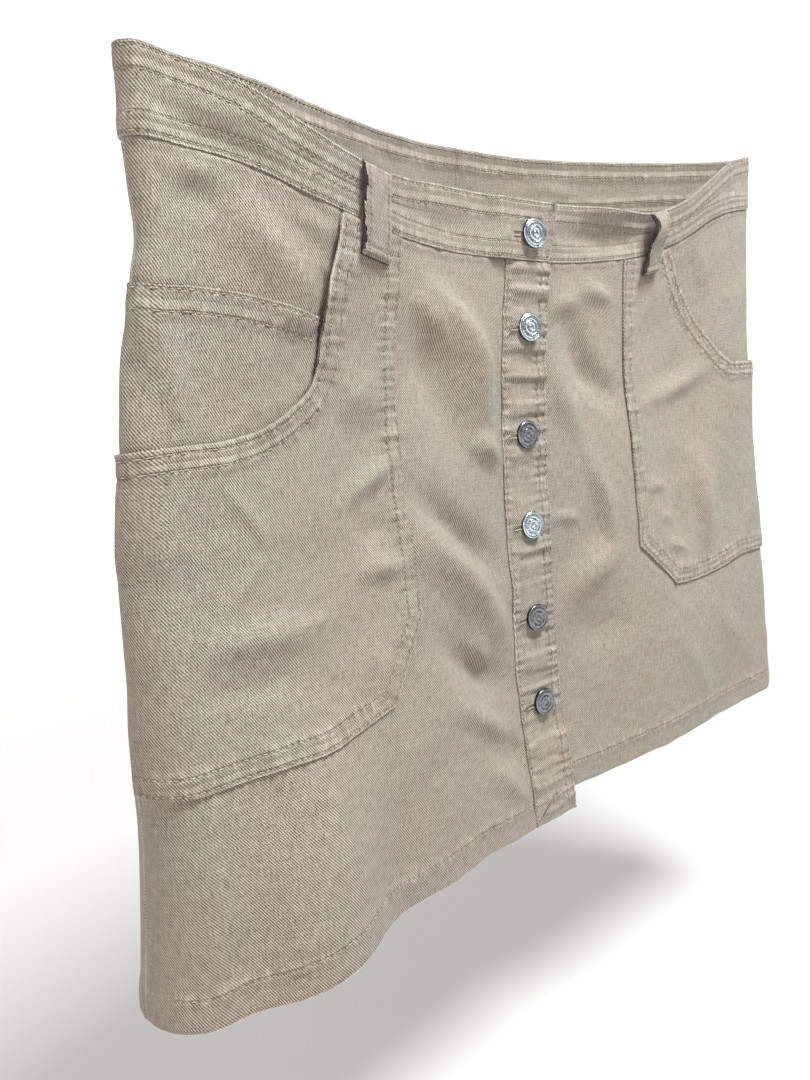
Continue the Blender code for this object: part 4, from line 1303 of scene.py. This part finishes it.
def hole_lift(number, distance, depth):
    if number == 1:
        return WAIST_LIFT + DOUBLE + SEAM_GAP + np.zeros(np.shape(distance))
    return band_lift(distance, depth)


def buttonhole(number, depth):
    """The cutter of one buttonhole, and the dense stitching round it."""
    place = np.array([HOLE_SHIFT, depth])
    inner, outer = place + keyhole(0.0001), place + keyhole(PURL_REACH)
    middle = (inner + outer) / 2
    lifts = hole_lift(number, *middle.T) + DOUBLE + 0.00012
    wobble = 0.125 * waves(40 + number, np.arange(len(inner)), 1.0)[:, None]
    ends = outer + wobble * (outer - inner)
    sewn(f"buttonhole_{number}", "front", inner, ends, lifts, 1, PURL, PURL_RADIUS)
    outline = place + keyhole()
    base = hole_lift(number, *outline.T)
    below = on_cloth("front", *outline.T, base - 0.00008)
    above = on_cloth("front", *outline.T, base + DOUBLE + 0.0012)
    return np.concatenate([below, above]), tube_faces(2, len(outline))


def cut(piece, cutters):
    """Cut closed prisms out of a piece."""
    points, faces, first = [], [], 0
    for prism_points, prism_faces in cutters:
        points.append(prism_points)
        faces += [tuple(k + first for k in f) for f in prism_faces]
        first += len(prism_points)
    tool = mesh_object("cutter", np.concatenate(points), faces, DENIM)
    modifier = piece.modifiers.new("holes", "BOOLEAN")
    modifier.operation = "DIFFERENCE"
    modifier.solver = "EXACT"
    modifier.object = tool
    graph = bpy.context.evaluated_depsgraph_get()
    whole = bpy.data.meshes.new_from_object(piece.evaluated_get(graph))
    piece.modifiers.clear()
    piece.data = whole
    bpy.data.objects.remove(tool)


holes = [buttonhole(number, depth) for number, depth in enumerate(BUTTON_DEPTHS, 1)]
cut(WAISTBANDS["front", -1], holes[:1])
cut(button_band, holes[1:])


# --- Floor, light and camera -------------------------------------------------

FLOOR = -0.62
NEAR_GLOW = 0.14
FAR_GLOW = 0.95


def pale():
    """Plain white that glows more the farther it is from the garment, so what the lamps miss stays pale."""
    n = Nodes("studio_white")
    away = n.add("ShaderNodeVectorMath", operation="LENGTH")
    n.put(away.inputs[0], n.add("ShaderNodeTexCoord").outputs["Object"])
    glow = n.spread(away.outputs["Value"], 0.9, 3.2, NEAR_GLOW, FAR_GLOW)
    surface = {"Base Color": (0.42, 0.42, 0.42, 1), "Roughness": 0.85}
    return n.finish(surface | {"Emission Color": (1, 1, 1, 1), "Emission Strength": glow})


def studio():
    """A pale floor and a curved backdrop, a soft key light overhead in front, and fills."""
    wide = 60.0
    white = pale()
    for name, profile in (
        ("floor", [(-9.0, 0.0), (3.0, 0.0)]),
        ("backdrop", [(3.0, 0.0), (3.5, 0.15), (3.8, 0.5), (3.9, 7.0)]),
    ):
        points = [(x, y, FLOOR + z) for y, z in profile for x in (-wide, wide)]
        faces = [(2 * i, 2 * i + 1, 2 * i + 3, 2 * i + 2) for i in range(len(profile) - 1)]
        mesh_object(name, np.array(points), faces, white)
    for name, place, size, power, colour in (
        ("key", (0.25, -0.8, 1.5), 0.6, 82, (0.965, 1.0, 0.995)),
        ("fill", (-1.8, -1.2, 0.5), 1.6, 22, (1.0, 0.82, 0.72)),
        ("rim", (0.2, 1.8, 1.6), 1.6, 32, (1.0, 0.92, 0.86)),
    ):
        lamp = bpy.data.lights.new(name, "AREA")
        lamp.size = size
        lamp.energy = power
        lamp.color = colour
        holder = bpy.data.objects.new(name, lamp)
        holder.location = place
        holder.rotation_euler = (Vector((0, 0, -0.2)) - Vector(place)).to_track_quat("-Z", "Y").to_euler()
        bpy.context.collection.objects.link(holder)
    world = bpy.data.worlds.new("studio")
    world.use_nodes = True
    world.node_tree.nodes["Background"].inputs[0].default_value = (1.0, 1.0, 1.0, 1)
    world.node_tree.nodes["Background"].inputs[1].default_value = 0.2
    bpy.context.scene.world = world
    bpy.context.scene.view_settings.view_transform = "Standard"


def camera():
    """The photograph's view: close to the wearer's right side, level with the hips."""
    right = Vector((0.7668, -0.6373, -0.0763))
    up = Vector((0.1747, 0.0928, 0.9802))
    data = bpy.data.cameras.new("photo_camera")
    data.sensor_width = 36
    data.lens = 27.7
    data.clip_start = 0.01
    holder = bpy.data.objects.new("photo_camera", data)
    turned = Matrix((right, up, right.cross(up))).transposed().to_4x4()
    holder.matrix_world = Matrix.Translation((-0.3976, -0.3518, -0.1462)) @ turned
    bpy.context.collection.objects.link(holder)
    bpy.context.scene.camera = holder


studio()
camera()
